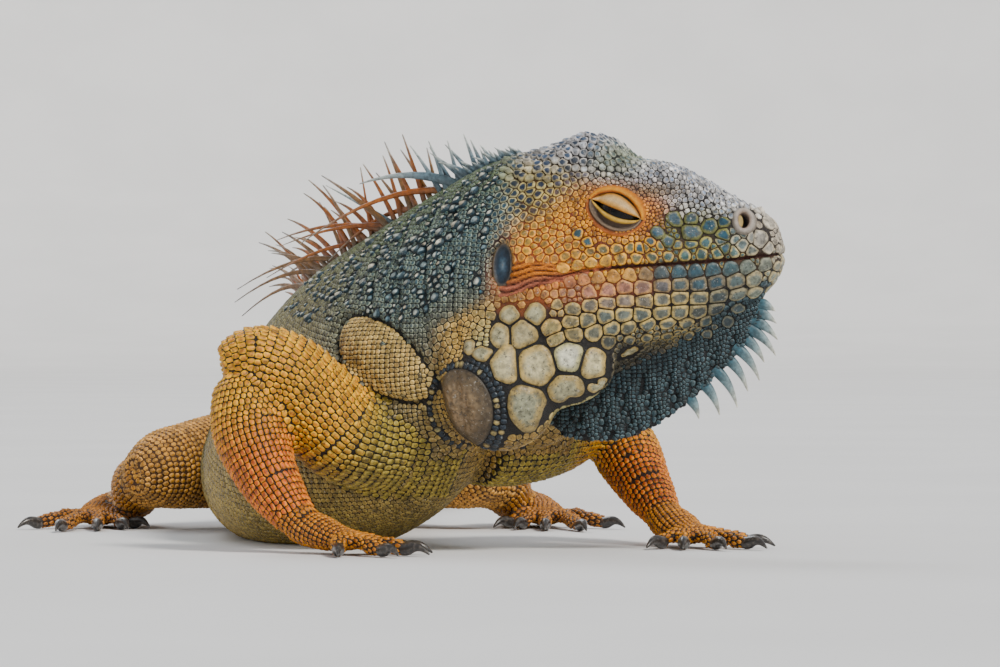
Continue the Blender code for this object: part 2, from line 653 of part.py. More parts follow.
# ---------------------------------------------------------------- limbs
def limb_rings(stations):
    """Rings along a limb part, with no twist, flattened in height where the station says so."""
    table = np.array(stations, float)
    steps = np.linalg.norm(np.diff(table[:, :3], axis=0), axis=1)
    keys = np.concatenate([[0.0], np.cumsum(steps)])
    spots = []
    for k in range(len(keys) - 1):
        spots += list(np.linspace(keys[k], keys[k + 1], RINGS_PER_STEP, endpoint=False))
    spots.append(keys[-1])
    rows = blend(keys, table, spots)
    centres = rows[:, :3]
    ways = np.gradient(centres, axis=0)
    ways /= np.linalg.norm(ways, axis=1)[:, None]
    side = np.cross(ways[0], [0.0, 0.0, 1.0])
    rings = []
    for centre, way, (half_wide, half_high) in zip(centres, ways, rows[:, 3:]):
        side = side - way * (side @ way)
        side /= np.linalg.norm(side)
        other = np.cross(way, side)
        turns = tau * np.arange(LIMB_SIDES) / LIMB_SIDES
        offsets = np.outer(np.cos(turns), side) + np.outer(np.sin(turns), other)
        offsets[:, :2] *= half_wide
        offsets[:, 2] *= half_high
        rings.append(lay_down(centre + offsets))
    return rings


def tube(name, centres, radii, sides, skin, level_end):
    """A round tube along a few centres; its first or last ring (0 or -1) stands upright."""
    centres = np.array(centres, float)
    ways = np.gradient(centres, axis=0)
    ways[level_end, 2] = 0.0
    rings = []
    for centre, way, radius in zip(centres, ways, radii):
        way = way / np.linalg.norm(way)
        side = np.cross(way, [0.0, 0.0, 1.0])
        side /= np.linalg.norm(side)
        other = np.cross(side, way)
        turns = tau * np.arange(sides) / sides
        rings.append(lay_down(centre + radius * (np.outer(np.cos(turns), side)
                                                 + np.outer(np.sin(turns), other))))
    return to_mesh(name, *loft(rings), skin)


def digit_line(knuckle, heading, length):
    """Centres of a digit that arches over its joint and comes down to the floor."""
    flat = np.array([cos(heading), sin(heading), 0.0])
    rise = np.array([0.0, 0.0, 1.0])
    joints = [knuckle + share * length * flat + lift * rise for share, lift in DIGIT_ARCH]
    end = knuckle + length * flat - (knuckle[2] - DIGIT_END_HEIGHT) * rise
    return [knuckle - DIGIT_ROOT * flat, *joints, end]


def claw(name, start, heading):
    """A hooked claw that leaves the digit level and turns down to the floor."""
    flat = np.array([cos(heading), sin(heading), 0.0])
    centres = []
    radii = []
    for share in CLAW_SHARES:
        drop = (start[2] - CLAW_END_HEIGHT) * share ** CLAW_HOOK
        rise = np.array([0.0, 0.0, CLAW_ARCH * sin(pi * share) - drop])
        centres.append(start + (GAP + CLAW_LENGTH * share) * flat + rise)
        radii.append(DIGIT_RADIUS[1] * CLAW_WIDTH * (1 - share) + CLAW_TIP * share)
    return tube(name, centres, radii, CLAW_SIDES, "dark_claw_horn", 0)


def build_limb(side, parts, digits, cutters):
    """A limb in three parts and five claws, cut where it meets the trunk or a jowl."""
    mirror = 1 if side == "right" else -1
    built = [to_mesh(f"{side}_{part}", *loft(limb_rings(LIMBS[f"{side}_{part}"])),
                     "golden_limb_skin") for part in parts]
    palm, knuckles = (np.array(row, float) for row in LIMBS[f"{side}_{parts[2]}"][-2:])
    spread = knuckles[3]
    heading = np.arctan2(knuckles[1] - palm[1], knuckles[0] - palm[0])
    across = np.array([sin(heading), -cos(heading), 0.0]) * mirror
    for k, (turn, length) in enumerate(digits):
        way = heading + mirror * radians(turn)
        root = knuckles[:3] + across * spread * (k - 2) / DIGIT_SPREAD
        line = digit_line(root, way, length)
        radii = np.linspace(DIGIT_RADIUS[0], DIGIT_RADIUS[1], len(line))
        combine(built[2], tube("digit", line, radii, DIGIT_SIDES, "golden_limb_skin", -1),
                "UNION")
        claw(f"{side}_{parts[2]}_claw_{k + 1}", line[-1], way)
    for upper, lower in ((built[1], built[2]), (built[0], built[1])):
        combine(lower, grown_copy(upper, GAP), "DIFFERENCE")
        drop_offcuts(lower)
    for cutter in cutters:
        combine(built[0], cutter, "DIFFERENCE")
        drop_offcuts(built[0])


# ---------------------------------------------------------------- the whole animal
def recentre():
    """Bring the middle of the animal's footprint to the origin."""
    bpy.context.view_layer.update()
    corners = np.array([body.matrix_world @ Vector(corner) for body in bpy.data.objects
                        for corner in body.bound_box])
    middle = (corners.min(axis=0) + corners.max(axis=0)) / 2
    for body in bpy.data.objects:
        body.location.x -= middle[0]
        body.location.y -= middle[1]


def build_iguana():
    clear_scene()
    jaw = build_head()
    build_dewlap(jaw)
    trunk = build_trunk()
    for mirror in (1, -1):
        combine(jaw, jowl(mirror, 0.0), "UNION")
        combine(trunk["neck"], jowl(mirror, GAP), "DIFFERENCE")
    for side in ("right", "left"):
        near = [grown_copy(trunk[name], GAP) for name in ("neck", "chest")]
        build_limb(side, ARM_PARTS, HAND_DIGITS, near + [jowl(1, GAP), jowl(-1, GAP)])
        near = [grown_copy(trunk[name], GAP) for name in ("abdomen", "pelvis")]
        build_limb(side, LEG_PARTS, FOOT_DIGITS, near)
    recentre()


build_iguana()
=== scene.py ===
"""Looks of an adult male green iguana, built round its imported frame.

Lengths are in millimetres in the plan of the body (the head's middle near the origin, the
floor at nought) and become metres in to_world(). The skin is one mesh through all the
flesh; every scale is a raised plate that fills its own cell of the skin.
"""

from math import cos, degrees, hypot, pi, radians, sin, tau

import bmesh
import bpy
import numpy as np
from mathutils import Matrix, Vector, noise
from mathutils.bvhtree import BVHTree
from mathutils.kdtree import KDTree


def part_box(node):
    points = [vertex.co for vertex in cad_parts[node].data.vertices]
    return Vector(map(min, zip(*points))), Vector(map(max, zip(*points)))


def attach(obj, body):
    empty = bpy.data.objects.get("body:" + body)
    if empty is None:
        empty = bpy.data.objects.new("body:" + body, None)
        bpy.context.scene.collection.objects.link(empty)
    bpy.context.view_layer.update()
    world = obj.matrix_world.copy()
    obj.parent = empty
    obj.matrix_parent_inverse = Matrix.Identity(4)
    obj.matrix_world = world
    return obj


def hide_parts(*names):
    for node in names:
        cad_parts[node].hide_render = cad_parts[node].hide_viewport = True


MM = 0.001
RNG = np.random.default_rng(11)
SKIN_DEPTH = 0.9       # the skin lies this far inside the solids, under the scales
SKIN_FLOOR = 0.5
SKIN_VOXEL = 1.3
SIDES = (("right", 1), ("left", -1))
FLOOR_GAP = 0.00005    # metres that everything stays above the floor
OUTSIDE = 70.0         # rays towards the head's side start this far from its middle
CHEEKS = 15.0          # what lies further out than this belongs to the head's sides
LIDS = 12.0            # the same for the rims of the eyes

# ---- the long body: the same stations as the solids ----
HEAD_YAW = radians(-15)
EAR_MIDDLE = (8.6, 0.0)
# name, along, lowest, highest, height of widest, half width, upper and lower roundness
HEAD_STATIONS = (
    ("lip", 101.6, 108.5, 119.5, 115.0, 5.0, 2.2, 2.2),
    ("snout front", 99.6, 103.0, 125.0, 114.0, 9.5, 2.2, 2.2),
    ("chin", 95.5, 98.5, 129.5, 113.0, 12.5, 2.2, 2.2),
    ("nostril", 87.5, 94.0, 133.5, 112.0, 15.5, 2.1, 2.2),
    ("snout", 75.0, 86.5, 140.5, 109.0, 19.5, 2.1, 2.2),
    ("eye front", 60.0, 79.5, 146.0, 106.0, 24.0, 2.3, 2.2),
    ("eye", 43.0, 72.0, 150.0, 103.0, 28.5, 2.5, 2.3),
    ("temple", 26.5, 65.0, 154.5, 98.0, 31.5, 2.3, 2.4),
    ("cheek", 10.0, 60.0, 154.5, 94.0, 33.5, 2.1, 2.5),
)
# name, x, y, lowest, highest, height of widest, half width, upper and lower roundness
BODY_STATIONS = (
    ("nape", 1.0, 2.2, 52.0, 151.0, 88.0, 32.0, 2.0, 2.5),
    ("neck", -22.0, 15.5, 20.0, 139.5, 72.0, 33.0, 1.7, 2.4),
    ("shoulder", -46.0, 37.0, 3.0, 125.0, 56.0, 38.0, 1.5, 2.4),
    ("ribs", -68.0, 68.0, -3.0, 111.0, 42.0, 41.0, 1.4, 2.5),
    ("back", -80.0, 112.0, -4.0, 98.5, 32.0, 41.0, 1.4, 2.5),
    ("belly", -80.0, 160.0, -4.0, 91.0, 28.0, 43.0, 1.4, 2.5),
    ("loin", -78.0, 212.0, -3.5, 83.0, 28.0, 41.0, 1.5, 2.5),
    ("hip", -76.0, 266.0, -3.0, 72.0, 29.0, 33.0, 1.7, 2.4),
    ("vent", -73.0, 312.0, -2.0, 58.0, 27.0, 24.0, 1.8, 2.3),
    ("tail root", -68.0, 366.0, -2.0, 47.0, 22.0, 18.0, 1.8, 2.2),
    ("tail first bend", -48.0, 462.0, -1.5, 37.0, 17.5, 13.5, 1.8, 2.2),
    ("tail middle", -18.0, 559.0, -1.5, 29.0, 14.0, 10.5, 1.9, 2.2),
    ("tail second bend", -6.0, 659.0, -1.0, 23.5, 11.5, 8.6, 1.9, 2.2),
    ("tail whip", -30.0, 752.0, -1.0, 18.5, 9.0, 6.9, 2.0, 2.2),
    ("tail third bend", -88.0, 830.0, -0.8, 14.5, 7.0, 5.5, 2.0, 2.1),
    ("tail end", -158.0, 882.0, -0.6, 11.2, 5.4, 4.3, 2.0, 2.1),
    ("tail fourth bend", -198.0, 955.0, -0.5, 8.3, 4.0, 3.3, 2.0, 2.1),
    ("tail curl", -186.0, 1038.0, -0.4, 5.8, 2.7, 2.3, 2.0, 2.0),
    ("tail thread", -126.0, 1090.0, -0.3, 3.8, 1.7, 1.5, 2.0, 2.0),
    ("tail tip", -56.0, 1112.0, -0.2, 2.2, 1.0, 0.9, 2.0, 2.0),
)
# name, along, aside, height, three radii, three pushes
HEAD_FORMS = (
    ("temple muscle", 31.0, 13.0, 153.0, 14.0, 13.0, 12.0, 0.0, 1.5, 7.8),
    ("crown hollow", 46.0, 0.0, 151.0, 6.0, 12.0, 10.0, 0.0, 0.0, -2.5),
    ("brow ridge", 60.0, 15.0, 144.0, 17.0, 10.0, 10.0, 0.0, 1.6, 5.8),
    ("eye swelling", 43.0, 26.0, 130.0, 13.0, 10.0, 12.0, 0.0, 2.5, 0.0),
    ("snout hollow", 70.0, 19.0, 125.0, 12.0, 9.0, 9.0, 0.0, -2.5, 0.0),
    ("nostril swelling", 88.0, 13.0, 126.0, 6.0, 6.0, 6.0, 0.5, 1.6, 0.8),
    ("cheek muscle", 12.0, 32.0, 108.0, 18.0, 13.0, 20.0, 0.0, 3.0, 0.0),
)
# jowls: along, aside, height of the centre, three radii
JOWLS = ((-3.0, 22.0, 63.5, 24.5, 17.5, 25.5), (14.0, 17.5, 73.0, 28.0, 15.5, 19.0))
MOUTH_REAR = (14.0, 100.8)
MOUTH_FRONT = (102.0, 113.6)
MOUTH_BOW = 5.6
EYE_CENTRE = (43.0, 19.0, 129.5)
EYE_RADIUS = 9.2
EARDRUM_CENTRE = (0.0, 31.5, 109.5)
EARDRUM_RADII = (3.4, 7.2)
NOSTRIL_CENTRE = (89.5, 13.5, 126.0)
DEWLAP_EDGE = ((95.5, 97.0), (93.5, 89.0), (89.0, 81.0), (81.0, 71.5), (69.0, 60.0),
               (53.0, 48.0), (36.0, 42.0), (19.0, 43.0), (8.0, 51.0))
DEWLAP_HALF_THICKNESS = 1.8
DEWLAP_SWAY = 0.75

# ---- crest: station, length, lean back in degrees, droop to the right side ----
CREST_SIZES = (
    ("nape", 8.0, 40.0, 0.05),
    ("neck", 30.0, 34.0, 0.10),
    ("shoulder", 38.0, 34.0, 0.20),
    ("ribs", 40.0, 42.0, 0.34),
    ("back", 38.0, 46.0, 0.40),
    ("belly", 34.0, 46.0, 0.34),
    ("loin", 26.0, 48.0, 0.20),
    ("hip", 17.0, 50.0, 0.10),
    ("vent", 11.0, 52.0, 0.05),
    ("tail root", 8.0, 55.0, 0.0),
    ("tail first bend", 5.0, 58.0, 0.0),
)

# ---- limbs: x, y, height, half width and half height of each ring station ----
LIMBS = {
    "right_upper_arm": ((-22, 19, 40, 18, 17), (-42, 8, 40, 20, 17.5), (-60, 0, 45, 20, 19),
                        (-71, -3, 56, 18.5, 18.5), (-83, -5, 68, 16.5, 17),
                        (-95, -6, 73, 13.5, 14), (-106, -7, 71, 8.5, 9)),
    "right_forearm": ((-98, -8, 65, 12.5, 12.5), (-95.5, -12, 48, 15.5, 15.5),
                      (-89, -18, 30, 12.5, 12.5), (-78, -25, 13.5, 9.5, 8.5)),
    "right_hand": ((-82, -22, 16, 7, 7), (-74, -27, 10.5, 9, 7.5), (-65, -33, 7.2, 9.5, 6.4),
                   (-57, -39, 4.8, 8.0, 5.2)),
    "left_upper_arm": ((-10, 30, 40, 18, 17), (4, 44, 43, 21, 20), (20, 64, 49, 21, 22),
                       (34, 81, 52, 18, 18), (43, 92, 50, 14.5, 15), (49, 99, 48, 9, 9.5)),
    "left_forearm": ((43, 89, 48, 12, 12), (50, 80, 37, 14, 14), (57, 65, 24, 11.5, 11.5),
                     (64, 49, 12.5, 9, 8)),
    "left_hand": ((61, 54, 15, 7, 7), (66, 44, 10, 9, 7.5), (71, 34, 7.2, 9.5, 6.4),
                  (75, 25, 4.8, 8.0, 5.2)),
    "right_thigh": ((-86, 262, 34, 24, 25), (-112, 247, 30, 21, 22), (-134, 228, 27, 18, 19),
                    (-147, 213, 25, 15, 16), (-155, 205, 23, 9.5, 10)),
    "right_shin": ((-147, 212, 23, 11, 12), (-153, 224, 20, 12.5, 13), (-157, 244, 16, 11, 11.5),
                   (-158, 264, 11.5, 9, 9), (-158, 273, 10.0, 6, 6)),
    "right_foot": ((-158, 267, 9.5, 6.5, 6.5), (-166, 263, 8.5, 9, 7.5),
                   (-172, 250, 6.6, 9.5, 6.2), (-173, 233, 5.0, 9, 5.2)),
    "left_thigh": ((-68, 264, 34, 24, 25), (-42, 249, 30, 21, 22), (-20, 230, 27, 18, 19),
                   (-7, 215, 25, 15, 16), (1, 207, 23, 9.5, 10)),
    "left_shin": ((-7, 214, 23, 11, 12), (-1, 226, 20, 12.5, 13), (3, 246, 16, 11, 11.5),
                  (4, 266, 11.5, 9, 9), (4, 275, 10.0, 6, 6)),
    "left_foot": ((4, 269, 9.5, 6.5, 6.5), (12, 265, 8.5, 9, 7.5), (18, 252, 6.6, 9.5, 6.2),
                  (20, 235, 5.0, 9, 5.2)),
}
HAND_DIGITS = ((58, 13.0), (28, 20.0), (5, 26.0), (-18, 27.0), (-52, 17.0))
FOOT_DIGITS = ((46, 15.0), (24, 25.0), (8, 38.0), (-6, 48.0), (-44, 24.0))
DIGIT_RADIUS = (4.0, 2.9)
DIGIT_END_HEIGHT = 2.7
CLAW_LENGTH = 10.0
CLAW_TIP = 0.35
CLAW_SIDES = 14
CLAW_TINT = (50, 46, 44)

PIGMENT = 1.36         # how rich the pigments are
PIGMENT_DEPTH = 0.84   # and how light


def colour(red, green, blue):
    """Linear pigment from display values of 0 to 255, made a little richer."""
    value = np.array([red, green, blue], float) / 255
    value = np.where(value <= 0.04045, value / 12.92, ((value + 0.055) / 1.055) ** 2.4)
    richer = value.mean() + PIGMENT * (value - value.mean())
    return np.clip(PIGMENT_DEPTH * richer, 0.002, 0.9)


def colours(looks):
    """Linear pigments of several display colours, such as a scale's, its rim's, the skin's."""
    return np.array([colour(*look) for look in looks])


def ramp(shares, stops):
    """Colours at the shares, from stops of share and colour."""
    tones = colours([tone for _, tone in stops])
    return np.column_stack([np.interp(shares, [s for s, _ in stops], tones[:, k])
                            for k in range(3)])


# ---- markings of the head, and a painted shadow under the brow: name, along, height,
#      reach along, reach up, colour of the scales, of their rims, and of the skin between them ----
HEAD_REGIONS = (
    ("crown", 18, 158, 22, 11, (62, 74, 92), (206, 204, 206), (30, 34, 40)),
    ("crown hollow", 43, 150, 8, 6, (74, 88, 72), (150, 158, 128), (30, 38, 32)),
    ("brow", 58, 145, 16, 5.5, (104, 114, 130), (222, 220, 220), (28, 32, 38)),
    # painted shadow: the band under the brow ridge is darkened where the ridge shades it
    ("painted brow shadow", 57, 138, 9, 2.2, (104, 86, 62), (150, 122, 84), (40, 26, 16)),
    ("snout top", 80, 139, 15, 7, (134, 140, 152), (240, 238, 236), (26, 27, 32)),
    ("snout tip", 101, 124, 9, 9, (176, 166, 152), (206, 196, 180), (50, 44, 40)),
    ("temple", 10, 139, 13, 10, (36, 46, 64), (188, 172, 118), (92, 64, 34)),
    ("nape side", -6, 128, 9, 14, (50, 78, 94), (196, 196, 172), (34, 50, 56)),
    ("orbit", 42, 129, 12, 8, (228, 146, 40), (242, 176, 70), (104, 50, 12)),
    ("behind eye", 26, 127, 8, 8, (176, 128, 54), (234, 170, 58), (118, 62, 18)),
    ("cheek", 14, 117, 15, 8, (158, 128, 76), (238, 168, 60), (144, 76, 24)),
    ("under eye", 48, 114, 15, 4, (96, 102, 78), (228, 172, 74), (110, 66, 26)),
    ("loreal", 71, 121, 10, 7, (46, 74, 82), (128, 126, 74), (44, 38, 22)),
    ("nasal", 87, 120, 7, 6, (92, 108, 108), (176, 172, 152), (56, 54, 50)),
    ("mouth corner", 8, 105, 16, 6, (216, 132, 56), (232, 160, 86), (198, 116, 66)),
    ("upper lip rear", 38, 108, 12, 3, (222, 168, 84), (236, 184, 106), (150, 88, 48)),
    ("upper lip front", 76, 113, 16, 3.5, (62, 92, 92), (182, 164, 108), (84, 62, 40)),
    ("lower lip rear", 38, 100, 14, 4, (168, 122, 108), (196, 138, 104), (140, 78, 62)),
    ("lower lip front", 76, 106, 16, 4, (58, 82, 92), (112, 104, 88), (50, 44, 38)),
    ("jaw", 50, 90, 24, 8, (106, 112, 104), (200, 178, 126), (18, 17, 15)),
    ("jaw rear", 12, 88, 14, 8, (166, 148, 104), (208, 176, 120), (20, 17, 13)),
    ("chin", 96, 103, 7, 6, (140, 144, 128), (184, 172, 138), (38, 38, 34)),
    ("throat", 52, 74, 26, 7, (52, 50, 44), (92, 86, 70), (14, 14, 14)),
    ("throat front", 82, 84, 10, 10, (40, 56, 64), (76, 90, 92), (14, 18, 20)),
    ("jowl plates", 4, 68, 16, 14, (186, 180, 138), (208, 200, 152), (15, 18, 19)),
    ("jowl edge", -22, 80, 8, 20, (196, 158, 98), (216, 182, 122), (20, 18, 14)),
    ("jowl under", 0, 42, 26, 8, (146, 118, 72), (174, 146, 96), (20, 18, 14)),
)
# ---- markings of the body: name, share of the axis from nape to vent (tail beyond 1),
#      share up the side, reaches, colours of scales, rims and skin ----
BODY_REGIONS = (
    ("neck", 0.08, 0.62, 0.13, 0.30, (50, 76, 86), (132, 148, 140), (22, 36, 42)),
    ("neck top", 0.10, 0.97, 0.22, 0.09, (52, 66, 32), (84, 98, 54), (26, 34, 20)),
    ("throat side", 0.06, 0.22, 0.08, 0.22, (128, 108, 70), (158, 138, 96), (26, 28, 26)),
    ("shoulder top", 0.26, 0.80, 0.10, 0.16, (98, 96, 62), (134, 128, 90), (38, 38, 26)),
    ("shoulder", 0.25, 0.48, 0.08, 0.20, (186, 158, 104), (206, 182, 132), (66, 56, 34)),
    ("chest", 0.24, 0.14, 0.16, 0.15, (156, 138, 84), (182, 162, 106), (30, 28, 18)),
    ("back", 0.60, 0.92, 0.34, 0.12, (78, 78, 42), (106, 102, 62), (34, 34, 20)),
    ("flank", 0.60, 0.55, 0.32, 0.24, (128, 108, 56), (156, 132, 76), (48, 40, 22)),
    ("flank bar", 0.44, 0.45, 0.05, 0.26, (82, 78, 44), (104, 98, 60), (34, 32, 18)),
    ("flank bar two", 0.68, 0.45, 0.05, 0.26, (86, 80, 44), (108, 100, 60), (34, 32, 18)),
    ("belly", 0.60, 0.10, 0.36, 0.16, (176, 148, 92), (196, 170, 116), (74, 60, 36)),
    ("hip", 0.97, 0.60, 0.14, 0.50, (138, 112, 60), (162, 136, 80), (52, 42, 24)),
    ("tail root", 1.25, 0.50, 0.24, 0.80, (140, 112, 66), (164, 136, 86), (54, 44, 28)),
    ("tail", 2.30, 0.50, 0.70, 0.80, (138, 108, 70), (164, 136, 94), (54, 44, 32)),
    ("tail end", 3.60, 0.50, 0.80, 0.80, (106, 86, 62), (132, 110, 84), (42, 36, 28)),
)
TAIL_BAND = colour(52, 46, 36)
TAIL_BANDS = 13
# ---- markings of the limbs: piece of the name, colours of scales, rims and skin ----
LIMB_REGIONS = {
    "upper_arm": ((214, 152, 66), (238, 190, 104), (26, 17, 8)),
    "forearm": ((212, 114, 10), (226, 150, 40), (36, 18, 8)),
    "hand": ((184, 116, 52), (212, 150, 82), (40, 26, 14)),
    "thigh": ((204, 152, 92), (220, 174, 118), (84, 56, 30)),
    "shin": ((200, 142, 80), (216, 166, 106), (72, 46, 22)),
    "foot": ((160, 104, 56), (186, 132, 82), (46, 30, 18)),
}
# the upper arm where it meets the chest, and the pale panel of fine scales over it
ARM_ROOT = ((152, 134, 74), (188, 168, 104), (22, 20, 10))
SHOULDER_PANEL = ((190, 162, 108), (212, 188, 138), (52, 44, 28))


# ---------------------------------------------------------------- geometry of the body
def unit(vectors):
    """One vector, or a row of them each, made one long."""
    if vectors.ndim == 1:
        return vectors / np.linalg.norm(vectors)
    return vectors / np.maximum(np.linalg.norm(vectors, axis=1), 1e-9)[:, None]


def lengths_along(points):
    """Length of the line through the points, up to each of them."""
    return np.concatenate([[0.0], np.cumsum(np.linalg.norm(np.diff(points, axis=0), axis=1))])


def tree_of(places):
    """A tree that finds the places near a point."""
    tree = KDTree(len(places))
    for k, place in enumerate(places):
        tree.insert(place, k)
    tree.balance()
    return tree


def ease(value, start, end):
    """Nought before the start, one after the end, and a smooth change between."""
    share = np.clip((value - start) / (end - start), 0, 1)
    return share * share * (3 - 2 * share)


def blend(keys, values, at):
    """Smooth curve through the values at the keys, read at the places in at."""
    keys = np.asarray(keys, float)
    values = np.asarray(values, float)
    at = np.asarray(at, float)
    slopes = np.gradient(values, keys, axis=0)
    index = np.clip(np.searchsorted(keys, at, side="right") - 1, 0, len(keys) - 2)
    step = keys[index + 1] - keys[index]
    part = (at - keys[index]) / step
    if values.ndim > 1:
        step = step[:, None]
        part = part[:, None]
    square = part * part
    cube = square * part
    return ((2 * cube - 3 * square + 1) * values[index]
            + (cube - 2 * square + part) * step * slopes[index]
            + (3 * square - 2 * cube) * values[index + 1]
            + (cube - square) * step * slopes[index + 1])


FORWARD = np.array([cos(HEAD_YAW), sin(HEAD_YAW), 0.0])
RIGHT = np.array([sin(HEAD_YAW), -cos(HEAD_YAW), 0.0])
UP = np.array([0.0, 0.0, 1.0])


def head_point(along, aside, height):
    """Place of a point given along the head, to its right side, and above the floor."""
    return (np.array([*EAR_MIDDLE, 0.0]) + np.multiply.outer(along, FORWARD)
            + np.multiply.outer(aside, RIGHT) + np.multiply.outer(height, UP))


def to_head(points):
    """Along, aside and height of points in the head's own directions."""
    local = points - np.array([*EAR_MIDDLE, 0.0])
    return local @ FORWARD, local @ RIGHT, points[:, 2]


def axis_table():
    """Names, arc lengths and rows (x, y, low, high, widest, half width, roundness)."""
    names = []
    rows = []
    for name, along, *sizes in HEAD_STATIONS:
        names.append(name)
        rows.append([*head_point(along, 0.0, 0.0)[:2], *sizes])
    for name, *sizes in BODY_STATIONS:
        names.append(name)
        rows.append(sizes)
    rows = np.array(rows, float)
    return names, lengths_along(rows[:, :2]), rows


NAMES, LENGTHS, ROWS = axis_table()


def place_of(name):
    """Arc length of a named station."""
    return LENGTHS[NAMES.index(name)]


GIRDLE = place_of("vent") - place_of("nape")


def body_frames(at):
    """Sizes and right-hand directions of the body's rings at the given arc lengths."""
    sizes = blend(LENGTHS, ROWS, at)
    ahead = blend(LENGTHS, ROWS[:, :2], np.maximum(at - 1.0, 0.0))
    behind = blend(LENGTHS, ROWS[:, :2], np.minimum(at + 1.0, LENGTHS[-1]))
    forward = unit(ahead - behind)
    return sizes, np.column_stack([forward[:, 1], -forward[:, 0]])


def rounded(value, roundness):
    """A cosine or sine bent to make an oval squarer or sharper."""
    return np.sign(value) * np.abs(value) ** (2.0 / roundness)


def body_rings(at, sides):
    """Rings of the skin: rounder below, ridged above, flattened where it lies down."""
    sizes, right = body_frames(np.asarray(at, float))
    angles = tau * np.arange(sides) / sides
    rings = []
    for (x, y, low, high, widest, half, upper, lower), side in zip(sizes, right):
        depth = min(SKIN_DEPTH, 0.3 * half)
        is_upper = np.sin(angles) >= 0
        roundness = np.where(is_upper, upper, lower)
        aside = (half - depth) * rounded(np.cos(angles), roundness)
        reach = np.where(is_upper, high - depth - widest, widest - low - depth)
        height = widest + reach * rounded(np.sin(angles), roundness)
        ring = np.column_stack([x + side[0] * aside, y + side[1] * aside, height])
        rings.append(lay_down(head_forms(ring)))
    return rings


def lay_down(points):
    """Nothing of the skin goes below its own floor."""
    points[:, 2] = np.maximum(points[:, 2], SKIN_FLOOR)
    return points


def head_forms(points):
    """Push the points by the head's swellings and hollows."""
    along, aside, height = to_head(points)
    moved = points.copy()
    for _, a, s, h, ra, rs, rh, push_a, push_s, push_h in HEAD_FORMS:
        for mirror in ((1, -1) if s else (1,)):
            far = (((along - a) / ra) ** 2 + ((aside - mirror * s) / rs) ** 2
                   + ((height - h) / rh) ** 2)
            push = push_a * FORWARD + mirror * push_s * RIGHT + push_h * UP
            moved += np.exp(-far)[:, None] * push
    return moved


def loft(rings):
    """Points and faces of a closed tube through equal rings, each end closed by a fan."""
    count = len(rings[0])
    points = [point for ring in rings for point in ring]
    faces = []
    for row in range(len(rings) - 1):
        for k in range(count):
            a, b = row * count + k, row * count + (k + 1) % count
            faces.append((a, b, b + count, a + count))
    for ring, row in ((rings[0], 0), (rings[-1], len(rings) - 1)):
        centre = len(points)
        points.append(np.mean(ring, axis=0))
        fan = [(centre, row * count + k, row * count + (k + 1) % count) for k in range(count)]
        faces += fan if row else [face[::-1] for face in fan]
    return np.array(points), faces


def limb_rings(stations, sides, per_step):
    """Rings along a limb part, with no twist."""
    table = np.array(stations, float)
    table[:, 3:] -= SKIN_DEPTH
    keys = lengths_along(table[:, :3])
    spots = np.concatenate([np.linspace(a, b, per_step, endpoint=False)
                            for a, b in zip(keys, keys[1:])] + [keys[-1:]])
    rows = blend(keys, table, spots)
    ways = unit(np.gradient(rows[:, :3], axis=0))
    side = np.cross(ways[0], UP)
    rings = []
    turns = tau * np.arange(sides) / sides
    for centre, way, (half_wide, half_high) in zip(rows[:, :3], ways, rows[:, 3:]):
        side = unit(side - way * (side @ way))
        offsets = np.outer(np.cos(turns), side) + np.outer(np.sin(turns), np.cross(way, side))
        offsets[:, :2] *= half_wide
        offsets[:, 2] *= half_high
        rings.append(lay_down(centre + offsets))
    return rings


def round_tube(centres, radii, sides):
    """Rings of a round tube along its centres."""
    centres = np.array(centres, float)
    ways = np.gradient(centres, axis=0)
    turns = tau * np.arange(sides) / sides
    rings = []
    for centre, way, radius in zip(centres, ways, radii):
        way = unit(way)
        side = unit(np.cross(way, UP))
        rings.append(centre + radius * (np.outer(np.cos(turns), side)
                                        + np.outer(np.sin(turns), np.cross(side, way))))
    return rings


def digits_of(side, part):
    """Root, heading, length and centre line of each digit of a hand or foot."""
    mirror = dict(SIDES)[side]
    palm, knuckles = (np.array(row, float) for row in LIMBS[f"{side}_{part}"][-2:])
    heading = np.arctan2(knuckles[1] - palm[1], knuckles[0] - palm[0])
    across = np.array([sin(heading), -cos(heading), 0.0]) * mirror
    found = []
    for k, (turn, length) in enumerate(HAND_DIGITS if part == "hand" else FOOT_DIGITS):
        way = heading + mirror * radians(turn)
        root = knuckles[:3] + across * knuckles[3] * (k - 2) / 2.6
        flat = np.array([cos(way), sin(way), 0.0])
        drop = root[2] - DIGIT_END_HEIGHT
        line = [root - 5.0 * flat, root + 0.20 * length * flat + 0.9 * UP,
                root + 0.55 * length * flat - 0.4 * UP, root + length * flat - drop * UP]
        found.append((way, length, np.array(line)))
    return found


def all_digits():
    """Side, part, number, heading, length and centre line of every digit."""
    for side, _ in SIDES:
        for part in ("hand", "foot"):
            for number, digit in enumerate(digits_of(side, part)):
                yield side, part, number, *digit


def digit_rings(line, sides, count):
    """Rings of a digit, a little thicker at its joints."""
    keys = np.linspace(0, 1, len(line))
    at = np.linspace(0, 1, count)
    centres = blend(keys, line, at)
    radii = np.interp(at, (0, 1), DIGIT_RADIUS) - 0.5
    radii = radii * (1 + 0.10 * np.cos(at * tau * 2.5))
    return [lay_down(ring) for ring in round_tube(centres, radii, sides)]


def ellipsoid_rings(centre, radii, sides, count):
    """Rings of an egg shape set in the head's directions."""
    rings = []
    for row in range(1, count):
        tilt = pi * row / count
        turns = tau * np.arange(sides) / sides
        flat = (np.outer(radii[0] * sin(tilt) * np.cos(turns), FORWARD)
                + np.outer(radii[1] * sin(tilt) * np.sin(turns), RIGHT))
        rings.append(centre + flat + radii[2] * cos(tilt) * UP)
    return rings


def throat_height(along):
    """Height of the head's underside."""
    alongs = [station[1] for station in HEAD_STATIONS][::-1]
    lows = [station[2] for station in HEAD_STATIONS][::-1]
    return np.interp(along, alongs, lows)


